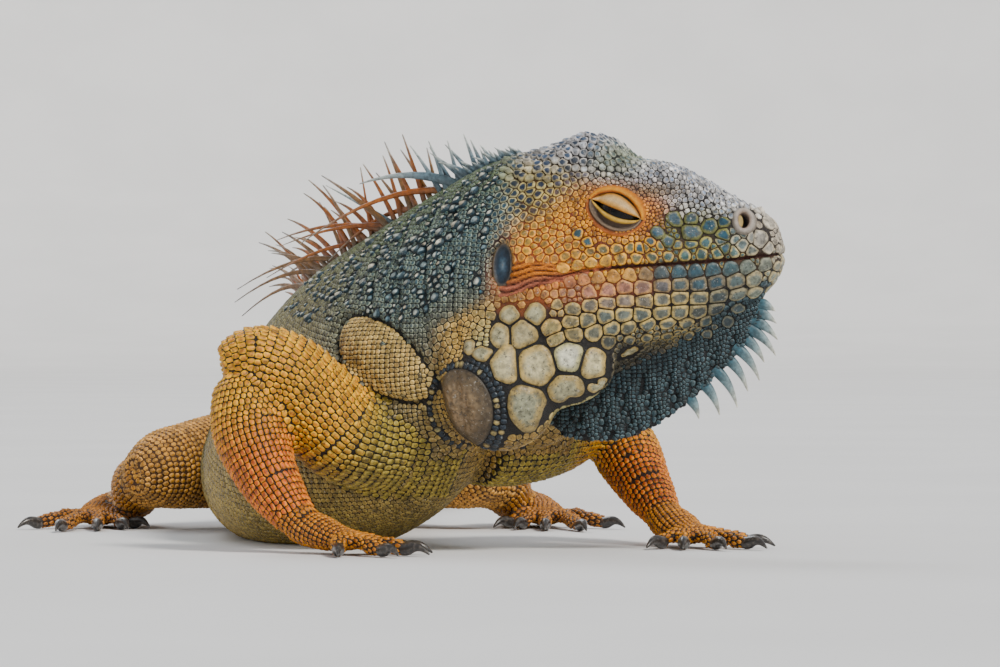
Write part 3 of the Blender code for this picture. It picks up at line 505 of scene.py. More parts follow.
def dewlap_edge(at):
    """Along and height of the dewlap's free edge, from the chin at 0 to the neck at 1."""
    return blend(np.linspace(0, 1, len(DEWLAP_EDGE)), DEWLAP_EDGE, at)


def dewlap_rings():
    """Upright slices of the dewlap, thick at the root and thin at the edge."""
    rings = []
    for along, height in dewlap_edge(np.linspace(0, 1, 40)):
        root = max(throat_height(along), height) + 4.0
        thick = DEWLAP_HALF_THICKNESS - 0.5
        shape = [(thick * 2.2, root), (thick * 1.3, 0.6 * root + 0.4 * height),
                 (thick, 0.3 * root + 0.7 * height), (thick * 0.7, height + 0.4)]
        shape += [(-aside, level) for aside, level in reversed(shape)]
        rings.append(np.array([head_point(along, aside, z) for aside, z in shape]))
    return rings


# ---------------------------------------------------------------- skin mesh
def flesh_parts():
    """Rings of the closed lofts whose union is the skin."""
    head_end = place_of("nape")
    at = np.concatenate([np.arange(0, head_end, 1.5), np.arange(head_end, LENGTHS[-1], 3.0),
                         LENGTHS[-1:]])
    parts = [body_rings(at, 72)]
    for mirror in (1, -1):
        for along, aside, height, *radii in JOWLS:
            centre = head_point(along, mirror * aside, height)
            parts.append(ellipsoid_rings(centre, np.array(radii) - SKIN_DEPTH, 40, 24))
    parts.append(dewlap_rings())
    parts += [limb_rings(stations, 28, 6) for stations in LIMBS.values()]
    parts += [digit_rings(line, 14, 16) for *_, line in all_digits()]
    return parts


def union_mesh(parts):
    """All parts joined in one mesh of even quads."""
    points = []
    faces = []
    start = 0
    for rings in parts:
        part_points, part_faces = loft(rings)
        points.append(part_points)
        faces += [tuple(start + k for k in face) for face in part_faces]
        start += len(part_points)
    mesh = bpy.data.meshes.new("rough")
    mesh.from_pydata(np.concatenate(points).tolist(), [], faces)
    work = bmesh.new()
    work.from_mesh(mesh)
    bmesh.ops.recalc_face_normals(work, faces=work.faces[:])
    work.to_mesh(mesh)
    work.free()
    rough = bpy.data.objects.new("rough", mesh)
    bpy.context.scene.collection.objects.link(rough)
    modifier = rough.modifiers.new("even", "REMESH")
    modifier.mode = "VOXEL"
    modifier.voxel_size = SKIN_VOXEL
    graph = bpy.context.evaluated_depsgraph_get()
    even = bpy.data.meshes.new_from_object(rough.evaluated_get(graph))
    bpy.data.objects.remove(rough, do_unlink=True)
    return even


def mesh_points(mesh):
    """Places of a mesh's points, a row each."""
    points = np.zeros(len(mesh.vertices) * 3, np.float32)
    mesh.vertices.foreach_get("co", points)
    return points.reshape(-1, 3).astype(float)


def mesh_edges(mesh):
    """The two points of each edge of a mesh."""
    edges = np.zeros(len(mesh.edges) * 2, np.int32)
    mesh.edges.foreach_get("vertices", edges)
    return edges.reshape(-1, 2)


def mesh_triangles(mesh):
    """The three corners of each triangle of a mesh."""
    mesh.calc_loop_triangles()
    corners = np.zeros(len(mesh.loop_triangles) * 3, np.int32)
    mesh.loop_triangles.foreach_get("vertices", corners)
    return corners.reshape(-1, 3)


def averaged(points, edges):
    """Mean of each point's neighbours."""
    total = np.zeros_like(points)
    for axis in range(3):
        total[:, axis] = (np.bincount(edges[:, 0], points[edges[:, 1], axis], len(points))
                          + np.bincount(edges[:, 1], points[edges[:, 0], axis], len(points)))
    count = np.bincount(edges.ravel(), minlength=len(points))
    return total / np.maximum(count, 1)[:, None]


def even_out(points, edges, rounds):
    """Smooth without shrinking: a step in and a slightly larger step out."""
    for _ in range(rounds):
        for step in (0.5, -0.52):
            points = points + step * (averaged(points, edges) - points)
    return points


def near_joins(points, parts, reach):
    """How near each point is to a place where two parts meet, from 0 to 1."""
    nearest = np.full((len(points), 2), 1e3)
    for rings in parts:
        part_points, part_faces = loft(rings)
        tree = BVHTree.FromPolygons(part_points.tolist(), part_faces)
        low, high = part_points.min(axis=0) - reach, part_points.max(axis=0) + reach
        inside = np.nonzero(np.all((points > low) & (points < high), axis=1))[0]
        for k in inside:
            hit = tree.find_nearest(points[k], reach)
            if hit[0] is not None:
                nearest[k] = np.sort([*nearest[k], hit[3]])[:2]
    return np.clip(1.2 - nearest[:, 1] / reach, 0, 1)


def normals_of(points, triangles):
    """Unit normals of the points from the faces round them."""
    a, b, c = (points[triangles[:, k]] for k in range(3))
    face = np.cross(b - a, c - a)
    total = np.zeros_like(points)
    for k in range(3):
        for axis in range(3):
            total[:, axis] += np.bincount(triangles[:, k], face[:, axis], len(points))
    return unit(total)


def refine_head(mesh):
    """Quarter the faces of the head, so that lids, lips and folds have room."""
    work = bmesh.new()
    work.from_mesh(mesh)
    along, aside, height = to_head(mesh_points(mesh))
    inside = (along > -9) & (height > 58) & (np.abs(aside) < 42)
    edges = [edge for edge in work.edges
             if inside[edge.verts[0].index] and inside[edge.verts[1].index]]
    bmesh.ops.subdivide_edges(work, edges=edges, cuts=1, use_grid_fill=True)
    bmesh.ops.triangulate(work, faces=work.faces[:])
    work.to_mesh(mesh)
    work.free()


# ---------------------------------------------------------------- sculpting of the head
def mouth_height(along):
    """Height of the line between the lips."""
    share = (along - MOUTH_REAR[0]) / (MOUTH_FRONT[0] - MOUTH_REAR[0])
    straight = MOUTH_REAR[1] + share * (MOUTH_FRONT[1] - MOUTH_REAR[1])
    share = np.clip(share, 0, 1)
    return straight + MOUTH_BOW * np.sin(pi * share ** 0.72) * (1 - share) ** 1.2


LID_TILT = radians(-22)
LID_MIDDLE = (0.2, 1.0)
LID_HALF = 10.0


def lid_frame(along, height):
    """Place in the tilted frame of the eye's opening: towards the front corner, and up."""
    return turned(along - EYE_CENTRE[0] - LID_MIDDLE[0], height - EYE_CENTRE[2] - LID_MIDDLE[1],
                  LID_TILT)


def from_lid_frame(p, q):
    """Along and height of a place given in the frame of the eye's opening."""
    u = p * cos(LID_TILT) - q * sin(LID_TILT) + LID_MIDDLE[0]
    v = p * sin(LID_TILT) + q * cos(LID_TILT) + LID_MIDDLE[1]
    return EYE_CENTRE[0] + u, EYE_CENTRE[2] + v


# fan of folds behind the mouth's corner: rear and front end, lowest and highest rear height
FOLD_FAN = (0.0, 42.0, 96.5, 110.5)
FOLD_COUNT = 5
FOLD_HEIGHT = 2.2
MOUTH_DEPTH = 1.5
SOCKET_DEPTH = 2.0     # inward from the eyeball's middle
FURROW_DEPTH = 0.45
NOSTRIL_DEPTH = 4.0
EARDRUM_DEPTH = 4.6


def fold_limits(along):
    """Lowest and highest edge of the fan of folds."""
    share = np.clip((along - FOLD_FAN[0]) / (FOLD_FAN[1] - FOLD_FAN[0]), 0, 1)
    end = mouth_height(FOLD_FAN[1])
    return (FOLD_FAN[2] + share * (end - FOLD_FAN[2]),
            FOLD_FAN[3] + share * (end + 1.5 - FOLD_FAN[3]))


def fold_wave(along, height):
    """Height of the folds and how far up the fan a place is."""
    low, high = fold_limits(along)
    level = (height - low) / (high - low)
    fan = level * FOLD_COUNT + 0.4 * np.sin(along * 0.32)
    return np.abs(np.sin(pi * fan)) ** 0.7 - 0.45, level


def sculpt_head(points, normals):
    """Mouth line, lips, folds, sockets, nostrils and eardrum hollows."""
    along, aside, height = to_head(points)
    moved = points.copy()
    side = np.sign(aside)[:, None] * RIGHT
    on_head = ease(along, -12, -2) * ease(height, 55, 70)
    above = height - mouth_height(along)
    lip = ease(along, 6, 20) * on_head
    groove = MOUTH_DEPTH * np.exp(-(above / 0.75) ** 2)
    swell = 0.55 * np.exp(-((above - 2.4) / 1.6) ** 2) + 0.45 * np.exp(-((above + 2.6) / 1.8) ** 2)
    moved += ((swell - groove) * lip)[:, None] * normals
    wave = fold_wave(along, height)[0]
    moved += (FOLD_HEIGHT * wave * (1 - 0.6 * ease(along, 0, FOLD_FAN[1]))
              * fold_share(along, aside, height))[:, None] * normals
    fin = ease(throat_height(along) - height, 1.0, 14.0) * (np.abs(aside) < 5.0) * (along > 6)
    sway = np.sin(0.62 * along + 0.20 * height) + 0.5 * np.sin(1.3 * along - 0.5 * height)
    moved += (DEWLAP_SWAY * fin * sway)[:, None] * RIGHT
    p, q = lid_frame(along, height)
    inside = np.hypot(p / 11.2, q / 8.2)
    by_lids = (np.abs(aside) > LIDS) * on_head
    sunk = (1 - ease(inside, 0.80, 1.02)) * by_lids
    moved += (sunk * (EYE_CENTRE[1] - SOCKET_DEPTH - np.abs(aside)))[:, None] * side
    furrow = np.exp(-((inside - 1.28) / 0.07) ** 2) + 0.8 * np.exp(-((inside - 1.52) / 0.07) ** 2)
    moved -= (FURROW_DEPTH * furrow * by_lids)[:, None] * normals
    far = np.hypot((along - NOSTRIL_CENTRE[0]) / 2.9, (height - NOSTRIL_CENTRE[2]) / 2.9)
    pit = (1 - ease(far, 0.75, 1.1)) * (np.abs(aside) > 5)
    moved -= (NOSTRIL_DEPTH * pit)[:, None] * side
    far = np.hypot((along - EARDRUM_CENTRE[0]) / (EARDRUM_RADII[0] + 1.6),
                   (height - EARDRUM_CENTRE[2]) / (EARDRUM_RADII[1] + 1.6))
    hollow = (1 - ease(far, 0.7, 1.25)) * (np.abs(aside) > CHEEKS)
    moved -= (EARDRUM_DEPTH * hollow)[:, None] * side
    return moved


# folds across the neck: place from the nape, slope, depth
NECK_FOLDS = ((6.0, 0.10, 1.0), (16.0, 0.16, 1.3), (27.0, 0.2, 1.1), (39.0, 0.24, 1.2),
              (52.0, 0.2, 0.9))
# pale panel over the shoulder: middle behind the nape and height, radii, tilt
PANEL_MIDDLE = (32.0, 74.0)
PANEL_RADII = (23.0, 11.5)
PANEL_TILT = radians(38)


BLOCK = 20000          # points measured at once


def behind_nape(points):
    """How far behind the nape, along the body's axis, each point lies."""
    at = np.arange(place_of("cheek"), place_of("vent"), 1.0)
    axis = body_frames(at)[0][:, :2]
    result = np.zeros(len(points))
    for start in range(0, len(points), BLOCK):
        block = points[start:start + BLOCK, :2]
        far = ((block[:, None] - axis[None]) ** 2).sum(axis=2)
        result[start:start + BLOCK] = at[far.argmin(axis=1)]
    return result - place_of("nape")


def upper_arm_balls():
    """Middle and size of the rings along both upper arms."""
    for side, _ in SIDES:
        for ring in limb_rings(LIMBS[f"{side}_upper_arm"], 8, 6):
            middle = ring.mean(axis=0)
            yield middle, np.linalg.norm(ring - middle, axis=1).mean()


ARM_BALLS = tuple(upper_arm_balls())


def clear_of_arms(points):
    """Zero on the upper arms, one a little way off them."""
    clear = np.ones(len(points))
    for middle, size in ARM_BALLS:
        gap = np.linalg.norm(points - middle, axis=1) / size
        clear = np.minimum(clear, ease(gap, 1.0, 1.14))
    return clear


def turned(u, v, tilt):
    """Coordinates of a place in a frame that is tilted by an angle."""
    return u * cos(tilt) + v * sin(tilt), -u * sin(tilt) + v * cos(tilt)


def panel_reach(back, height):
    """Distance from the shoulder panel's middle, one at its border."""
    along, across = turned(back - PANEL_MIDDLE[0], height - PANEL_MIDDLE[1], PANEL_TILT)
    return np.hypot(along / PANEL_RADII[0], across / PANEL_RADII[1])


def sculpt_neck(points, normals):
    """Upright skin folds on the sides of the neck and the panel over the shoulder."""
    back = behind_nape(points)
    level = points[:, 2] - 95.0
    wave = np.array([1.6 * noise.noise(Vector(point * 0.06)) for point in points])
    depth = np.zeros(len(points))
    for start, slope, push in NECK_FOLDS:
        gap = back - start - slope * level - wave
        depth += push * np.exp(-(gap / 1.5) ** 2)
    near = (points[:, 0] < 20) & (points[:, 1] < 140) & (points[:, 2] > 20)
    depth *= near * ease(np.abs(normals[:, 2]), 0.98, 0.6)
    far = panel_reach(back, points[:, 2])
    panel = 2.2 * np.exp(-(far / 0.75) ** 4) - 2.0 * np.exp(-((far - 1.02) / 0.10) ** 2)
    panel *= ease(points[:, 2], 36, 46)
    pushed = (panel - 0.9 * depth * (far > 1.0)) * clear_of_arms(points)
    return points + pushed[:, None] * normals


JOIN_REACH = 6.0       # of the smoothing where two parts of the flesh meet
JOIN_ROUNDS = 32


def build_skin_arrays():
    """Points of the whole skin before and after sculpting, and its triangles."""
    parts = flesh_parts()
    mesh = union_mesh(parts)
    points = mesh_points(mesh)
    edges = mesh_edges(mesh)
    points = even_out(points, edges, 4)
    weight = near_joins(points, parts, JOIN_REACH)[:, None] * 0.55
    for _ in range(JOIN_ROUNDS):
        points = points + weight * (averaged(points, edges) - points)
    mesh.vertices.foreach_set("co", points.astype(np.float32).ravel())
    refine_head(mesh)
    points = mesh_points(mesh)
    edges = mesh_edges(mesh)
    points = even_out(points, edges, 3)
    triangles = mesh_triangles(mesh)
    plain = points.copy()
    normals = normals_of(points, triangles)
    points = sculpt_neck(points, normals)
    points = sculpt_head(points, normals)
    points = lay_down(points)
    return plain, points, triangles


# ---------------------------------------------------------------- scale seeds
# height share of the radius, sink, tilt, keel, overlap, gap in mm, sides, rings
STYLES = {
    "pebble": (0.26, 0.5, 0.0, 0.0, 0.0, 0.26, 14, "full"),
    "small pebble": (0.36, 0.4, 0.0, 0.0, 0.0, 0.18, 9, "half"),
    "granule": (0.42, 0.3, 0.0, 0.0, 0.0, 0.14, 7, "low"),
    "plate": (0.21, 0.6, 0.0, 0.0, 0.0, 0.60, 30, "dome"),
    "shield": (0.17, 0.6, 0.0, 0.0, 0.0, 0.0, 96, "fine dome"),
    "band": (0.13, 0.5, 0.0, 0.0, 0.0, 0.05, 16, "full"),
    "lip": (0.20, 0.5, 0.0, 0.0, 0.0, 0.20, 16, "full"),
    "bare": (0.0, 0.0, 0.0, 0.0, 0.0, 0.0, 3, "low"),
    "flat": (0.20, 0.5, 0.0, 0.0, 0.0, 0.26, 16, "full"),
    "rough": (0.50, 0.4, 0.30, 0.45, 0.0, 0.14, 9, "half"),
    "tubercle": (1.05, 0.5, 0.60, 0.0, 0.10, 0.20, 9, "cone"),
    "keeled": (0.28, 0.5, 0.34, 0.34, 0.30, 0.40, 10, "half"),
    "low keeled": (0.30, 0.4, 0.22, 0.30, 0.16, 0.20, 6, "low"),
}
LAID_STYLES = ("plate", "shield")     # large scales whose every point follows the skin
RING_SETS = {
    "full": ((1.0, None), (0.97, 0.48), (0.89, 0.82), (0.60, 0.98), (0.0, 1.0)),
    "half": ((1.0, None), (0.92, 0.62), (0.60, 0.95), (0.0, 1.0)),
    "low": ((1.0, None), (0.80, 0.80), (0.0, 1.0)),
    "dome": ((1.0, None), (0.97, 0.20), (0.88, 0.55), (0.72, 0.82), (0.42, 0.97), (0.0, 1.0)),
    "fine dome": tuple([(1.0, None), (0.985, 0.10), (0.96, 0.26)]
                       + [(share, 1.0 - share ** 3) for share in np.arange(0.92, 0.02, -0.045)]
                       + [(0.0, 1.0)]),
    "cone": ((1.0, None), (0.88, 0.16), (0.58, 0.42), (0.28, 0.78), (0.0, 1.0)),
}


def nearness(rows, first, second):
    """How near places are to each row's own place, in its reaches; the nearest has one."""
    weights = np.array([-((first - a) / reach_a) ** 2 - ((second - b) / reach_b) ** 2
                        for a, b, reach_a, reach_b in rows])
    return np.exp(weights - weights.max(axis=0))


def mixed(regions, first, second):
    """Colours of scales, rims and skin at many places, from the regions' named colours."""
    weights = nearness([region[1:5] for region in regions], first, second)
    weights /= weights.sum(axis=0)
    return np.einsum("rn,rkc->nkc", weights, np.array([colours(region[5:]) for region in regions]))


class Skin:
    """The skin's arrays, with trees to find places on it, sculpted and plain."""

    def __init__(self):
        plain, self.points, self.triangles = build_skin_arrays()
        self.normals = normals_of(self.points, self.triangles)
        self.tree = BVHTree.FromPolygons(self.points.tolist(), self.triangles.tolist())
        self.plain_tree = BVHTree.FromPolygons(plain.tolist(), self.triangles.tolist())

    def settle(self, places, reach):
        """Nearest skin points, their normals, and which places had skin within reach."""
        at = np.zeros((len(places), 3))
        normal = np.zeros((len(places), 3))
        found = np.zeros(len(places), bool)
        for k, place in enumerate(places):
            hit = self.tree.find_nearest(place, reach)
            if hit[0] is not None:
                corners = self.triangles[hit[2]]
                at[k] = hit[0]
                normal[k] = self.normals[corners].mean(axis=0)
                found[k] = True
        return at, unit(normal), found

    def face_aside(self, along, height, mirror):
        """How far out the plain skin lies beside a place of the head."""
        start = head_point(along, mirror * OUTSIDE, height)
        return OUTSIDE - self.plain_tree.ray_cast(start, -mirror * RIGHT)[3]

    def beside_head(self, along, height, mirror):
        """The skin's point level with a place of the head, on one side, past any arm."""
        start, reach = head_point(along, mirror * OUTSIDE, height), OUTSIDE - 2.0
        while reach > 0:
            hit = self.tree.ray_cast(start, -mirror * RIGHT, reach)
            if hit[0] is None:
                return None
            place = np.array(hit[0])
            if clear_of_arms(place[None])[0] > 0.5:
                return place
            reach -= np.linalg.norm(place - start) + 0.1
            start = place - 0.1 * mirror * RIGHT
        return None


CROWDED = 0.62         # share of two radii within which the later scale is left out


class Coat:
    """All scales: places, directions, sizes, styles, pieces and colours."""

    def __init__(self):
        self.batches = []

    def add(self, at, normal, lie, radius, style, piece, unwrap, looks):
        """Scales at places of the skin, with the way each one lies and its share of the map."""
        count = len(at)
        if not count:
            return
        lie = np.broadcast_to(lie, (count, 3))
        lie = unit(lie - (lie * normal).sum(axis=1)[:, None] * normal)
        self.batches.append({
            "at": at, "normal": normal, "lie": lie,
            "radius": np.broadcast_to(np.asarray(radius, float), (count,)).copy(),
            "style": np.array([style] * count), "piece": np.array([piece] * count),
            "unwrap": np.asarray(unwrap, float), "looks": np.asarray(looks, float)})

    def table(self):
        """All scales so far, a column for each of their values."""
        return {key: np.concatenate([batch[key] for batch in self.batches])
                for key in self.batches[0]}

    def finish(self):
        """One table of all scales, without those that crowd an earlier one."""
        table = self.table()
        tree = tree_of(table["at"])
        keep = np.ones(len(table["at"]), bool)
        radius = table["radius"]
        for k, at in enumerate(table["at"]):
            if keep[k]:
                for _, other, far in tree.find_range(at, 1.3 * radius[k]):
                    same_face = table["normal"][k] @ table["normal"][other] > 0.2
                    if other > k and same_face and far < CROWDED * (radius[k] + radius[other]):
                        keep[other] = False
        return {key: values[keep] for key, values in table.items()}


def hexagonal(rings, spacing, twist=0.0, stagger=0.5):
    """Places in staggered rows round the rings of a tube, with their unwrapped shares."""
    places = []
    unwrap = []
    for row, ring in enumerate(rings):
        closed = np.vstack([ring, ring[:1]])
        lengths = lengths_along(closed)
        step = spacing[row] if np.ndim(spacing) else spacing
        count = max(6, int(round(lengths[-1] / step)))
        at = (np.arange(count) + stagger * (row % 2) + twist * row) / count
        at = (at + RNG.uniform(-0.08, 0.08, count) / count) % 1.0
        places.append(np.column_stack([np.interp(at * lengths[-1], lengths, closed[:, axis])
                                       for axis in range(3)]))
        unwrap.append(np.column_stack([np.full(count, float(row)), at]))
    return places, unwrap


# ---------------------------------------------------------------- head scales
# name, first along, last along, height from the line between the lips, count, radius, style
LIP_ROWS = (
    ("upper lip", 25, 99, 2.6, 14, 2.45, "lip"),
    ("above the lip", 25, 93, 7.0, 14, 1.9, "lip"),
    ("lower lip", 27, 98, -3.1, 13, 2.7, "band"),
)
# rows of six-sided scales under the lower lip: first, last along, offset, radius
JAW_ROWS = ((34, 97, -8.3, 3.0), (24, 95, -13.2, 3.1), (20, 90, -18.0, 3.1), (18, 82, -22.8, 2.9),
            (40, 76, -27.2, 2.5))
JAW_STEP = 6.6
# large plates of the jowl: along, height, radius, look
JOWL_PLATES = (
    (-15.2, 55.0, 13.6, "shield"), (2.0, 70.0, 6.6, "plate"), (14.3, 71.2, 7.6, "plate"),
    (9.9, 56.2, 8.0, "plate"), (25.6, 74.4, 6.0, "bright"), (35.4, 71.6, 5.6, "plate"),
    (24.4, 62.2, 6.6, "plate"), (-6.6, 76.0, 4.4, "plate"), (-0.4, 83.0, 4.4, "plate"),
    (8.6, 83.6, 4.8, "plate"), (17.4, 83.0, 4.2, "plate"), (28.0, 84.0, 4.6, "plate"),
    (37.6, 80.4, 4.3, "plate"), (36.0, 63.5, 3.8, "plate"), (45.5, 76.5, 3.6, "plate"),
    (3.6, 90.6, 3.6, "plate"), (14.0, 91.0, 3.8, "plate"), (-12.5, 79.0, 3.2, "plate"),
)
SHIELD_RADII = (14.0, 15.4)
PLATE_LOOKS = {
    "shield": ((148, 126, 100), (92, 80, 64), (12, 16, 20)),
    "plate": ((186, 180, 150), (176, 156, 112), (12, 15, 16)),
    "bright": ((226, 224, 204), (198, 192, 152), (12, 15, 16)),
    "loreal": ((42, 70, 82), (104, 104, 66), (34, 32, 20)),
    "under eye": ((56, 78, 84), (226, 172, 82), (120, 62, 20)),
    "cream bead": ((176, 160, 116), (120, 110, 84), (8, 10, 12)),
    "dark bead": ((28, 38, 48), (52, 62, 70), (8, 10, 12)),
}
# curved row of scales under the eye: turns round the eye in degrees, radius
SUBOCULAR = (range(-142, -39, 17), 2.3)
# loreal and nasal plates: along, height, radius
SNOUT_PLATES = ((58.2, 121.8, 3.0), (63.8, 127.1, 3.4), (62.4, 118.3, 3.0), (70.1, 127.0, 3.1),
                (70.4, 121.7, 3.7), (77.2, 124.6, 3.0), (68.2, 115.6, 2.9), (77.6, 119.2, 3.0),
                (82.6, 120.6, 2.6), (75.6, 114.9, 2.6), (83.2, 115.4, 2.6), (82.0, 125.8, 2.4),
                (89.4, 116.6, 2.9), (95.4, 119.0, 3.6), (98.0, 125.5, 3.4), (94.6, 132.0, 2.6))
LOREAL_END = 86.0      # the plates behind this are the dark ones between eye and nostril


HEAD_AXIS = 95.0       # height of the line that the head's coat is rolled out round
HEAD_ROUND = 30.0      # its radius


def head_unwrap(points):
    """The head's coat rolled out flat round its long axis."""
    along, aside, height = to_head(points)
    return np.column_stack([along, np.arctan2(aside, height - HEAD_AXIS) * HEAD_ROUND])


def named_head_scales(coat, skin):
    """Lip rows, jaw rows, jowl plates, the row under the eye and the plates of the snout."""
    for mirror in (1, -1):
        sets = []
        for along in np.arange(16.0, MOUTH_FRONT[0] - 0.5, 1.5):
            sets.append((along, mouth_height(along), 0.5, "bare", None))
        for _, first, last, offset, count, radius, style in LIP_ROWS:
            for along in first + (last - first) * np.linspace(0, 1, count) ** 1.08:
                size = radius * (0.90 + 0.16 * (along - first) / (last - first))
                sets.append((along, mouth_height(along) + offset, size, style, None))
        for row, (first, last, offset, radius) in enumerate(JAW_ROWS):
            for along in np.arange(first + 0.5 * JAW_STEP * (row % 2), last, JAW_STEP):
                along += RNG.uniform(-0.5, 0.5)
                level = mouth_height(along) + offset + RNG.uniform(-0.4, 0.4)
                sets.append((along, level, radius, "pebble", None))
        for along, height, radius, look in JOWL_PLATES:
            style = "shield" if look == "shield" else "plate"
            sets.append((along, height, radius, style, PLATE_LOOKS[look]))
        sets += shield_border()
        for turn in SUBOCULAR[0]:
            along = EYE_CENTRE[0] + 17.0 * cos(radians(turn))
            height = EYE_CENTRE[2] - 1.0 + 14.0 * sin(radians(turn)) - 0.1 * (along - EYE_CENTRE[0])
            sets.append((along, height, SUBOCULAR[1], "pebble", PLATE_LOOKS["under eye"]))
        for along, height, radius in SNOUT_PLATES:
            look = PLATE_LOOKS["loreal"] if along < LOREAL_END else None
            sets.append((along, height, radius, "flat", look))
        for along, height, radius, style, look in sets:
            spot = skin.beside_head(along, height, mirror)
            if spot is None:
                continue
            at, normal, _ = skin.settle([spot], 5.0)
            if style == "pebble" and normal[0] @ (mirror * RIGHT) < 0.15:
                continue
            looks = (colours(look)[None] if look else
                     mixed(HEAD_REGIONS, np.array([along]), np.array([height])))
            if style == "band":
                looks[:, 1] = 0.8 * looks[:, 0] + 0.2 * looks[:, 1]
            if style in LAID_STYLES:
                normal = unit(0.35 * normal + 0.65 * mirror * RIGHT)
            coat.add(at, normal, -FORWARD, radius, style, "head_scales", head_unwrap(at), looks)


def shield_border():
    """Small dark scales round the shield, in a double strip on its front side."""
    sets = []
    along, height = JOWL_PLATES[0][:2]
    for grown, first, last in ((1.35, -180, 180), (3.7, -75, 75)):
        wide, tall = SHIELD_RADII[0] + grown, SHIELD_RADII[1] + grown
        turn = first
        while turn < last:
            look = PLATE_LOOKS["cream bead" if RNG.random() < 0.22 else "dark bead"]
            sets.append((along + wide * cos(radians(turn)), height + tall * sin(radians(turn)),
                         1.15, "granule", look))
            turn += degrees(2.15 / hypot(wide * sin(radians(turn)), tall * cos(radians(turn))))
    return sets


LARGE_SCALE = 3.55     # radii above this spread over gaps
MIDDLE_SCALE = 2.55
# finest and coarser scales of the head: along, height, reaches, spacing
HEAD_GRAIN = (
    (43, 130, 12, 9, 1.25), (26, 127, 9, 8, 1.7), (18, 156, 20, 9, 2.8), (45, 149, 12, 6, 2.0),
    (64, 145, 12, 7, 1.7), (80, 140, 12, 7, 1.9), (98, 126, 8, 8, 2.9), (10, 138, 12, 9, 3.4),
    (-6, 128, 8, 12, 2.5), (14, 117, 14, 7, 2.9), (48, 114, 18, 4, 2.6), (10, 103, 16, 6, 2.0),
    (60, 96, 26, 6, 4.4), (20, 92, 14, 6, 4.2), (95, 103, 7, 6, 4.4), (56, 82, 22, 7, 2.4),
    (-24, 82, 10, 22, 2.6), (40, 66, 14, 14, 2.0), (0, 42, 28, 8, 2.6), (78, 98, 14, 5, 4.2),
    (0, 110, 5, 9, 1.6),
)


def grain(points):
    """Spacing of the free scales of the head."""
    along, _, height = to_head(points)
    weights = nearness([row[:4] for row in HEAD_GRAIN], along, height)
    sizes = np.array([row[4] for row in HEAD_GRAIN])
    return (weights * sizes[:, None]).sum(axis=0) / weights.sum(axis=0)


def seed_share(radius):
    """How much of its radius a named scale keeps free of smaller ones."""
    return 1.5 if radius > LARGE_SCALE else 1.22 if radius > MIDDLE_SCALE else 1.0


def scattered(skin, taken, taken_radius):
    """Evenly crowded places for the head's free scales, clear of the places taken."""
    corners = skin.points[skin.triangles]
    corners = corners[free_on_head(corners.mean(axis=1))]
    area = np.linalg.norm(np.cross(corners[:, 1] - corners[:, 0],
                                   corners[:, 2] - corners[:, 0]), axis=1) / 2
    size = grain(corners.mean(axis=1))
    density = area / size ** 2
    count = int(9 * density.sum())
    pick = np.searchsorted(np.cumsum(density) / density.sum(), RNG.random(count))
    pick = np.minimum(pick, len(corners) - 1)
    u, v = RNG.random(count), RNG.random(count)
    flip = u + v > 1
    u[flip], v[flip] = 1 - u[flip], 1 - v[flip]
    first, second = corners[pick, 1] - corners[pick, 0], corners[pick, 2] - corners[pick, 0]
    spots = corners[pick, 0] + u[:, None] * first + v[:, None] * second
    size = grain(spots)
    tree = tree_of(spots)
    alive = np.ones(count, bool)
    faces = np.cross(first, second)
    for at, radius in zip(taken, taken_radius):
        for _, other, far in tree.find_range(at, 1.5 * radius + 3.0):
            if far < seed_share(radius) * radius + 0.42 * size[other]:
                alive[other] = False
    free = alive.copy()
    kept = []
    for k in range(count):
        if alive[k]:
            kept.append(k)
            for _, other, _ in tree.find_range(spots[k], 0.86 * size[k]):
                if faces[other] @ faces[k] > 0:
                    alive[other] = False
    places = spots[kept]
    cloud = spots[free]
    for _ in range(2):
        near = tree_of(np.concatenate([places, taken]))
        owner = np.array([near.find(spot)[1] for spot in cloud])
        weight = np.bincount(owner, minlength=len(places))[:len(places)]
        total = np.column_stack([np.bincount(owner, cloud[:, axis],
                                             minlength=len(places))[:len(places)]
                                 for axis in range(3)])
        places = np.where(weight[:, None] > 0, total / np.maximum(weight, 1)[:, None], places)
    return places


def fold_share(along, aside, height):
    """One on the bare folds behind the mouth's corner, zero away from them."""
    low, high = fold_limits(along)
    inside = ease(height, low - 0.6, low + 0.6) * ease(-height, -high - 0.6, -high + 0.6)
    inside = inside * ease(along, FOLD_FAN[0] - 1.0, FOLD_FAN[0]) * (along < FOLD_FAN[1])
    return inside * (np.abs(aside) > CHEEKS)


def head_share(points):
    """One on the head's own markings, zero on the neck's."""
    along, _, height = to_head(points)
    start = -10 - 22 * ease(-height, -100, -84)
    return ease((along - start) / 16, 0, 1)


def body_looks(points):
    """Colours of the body's markings at points of the skin."""
    back = behind_nape(points)
    sizes = body_frames(back + place_of("nape"))[0]
    return mixed(BODY_REGIONS, back / GIRDLE, side_share(points, sizes[:, 2], sizes[:, 3]))


def joined_looks(points):
    """Colours of the head running over into those of the neck."""
    along, _, height = to_head(points)
    share = head_share(points)[:, None, None]
    return mixed(HEAD_REGIONS, along, height) * share + body_looks(points) * (1 - share)


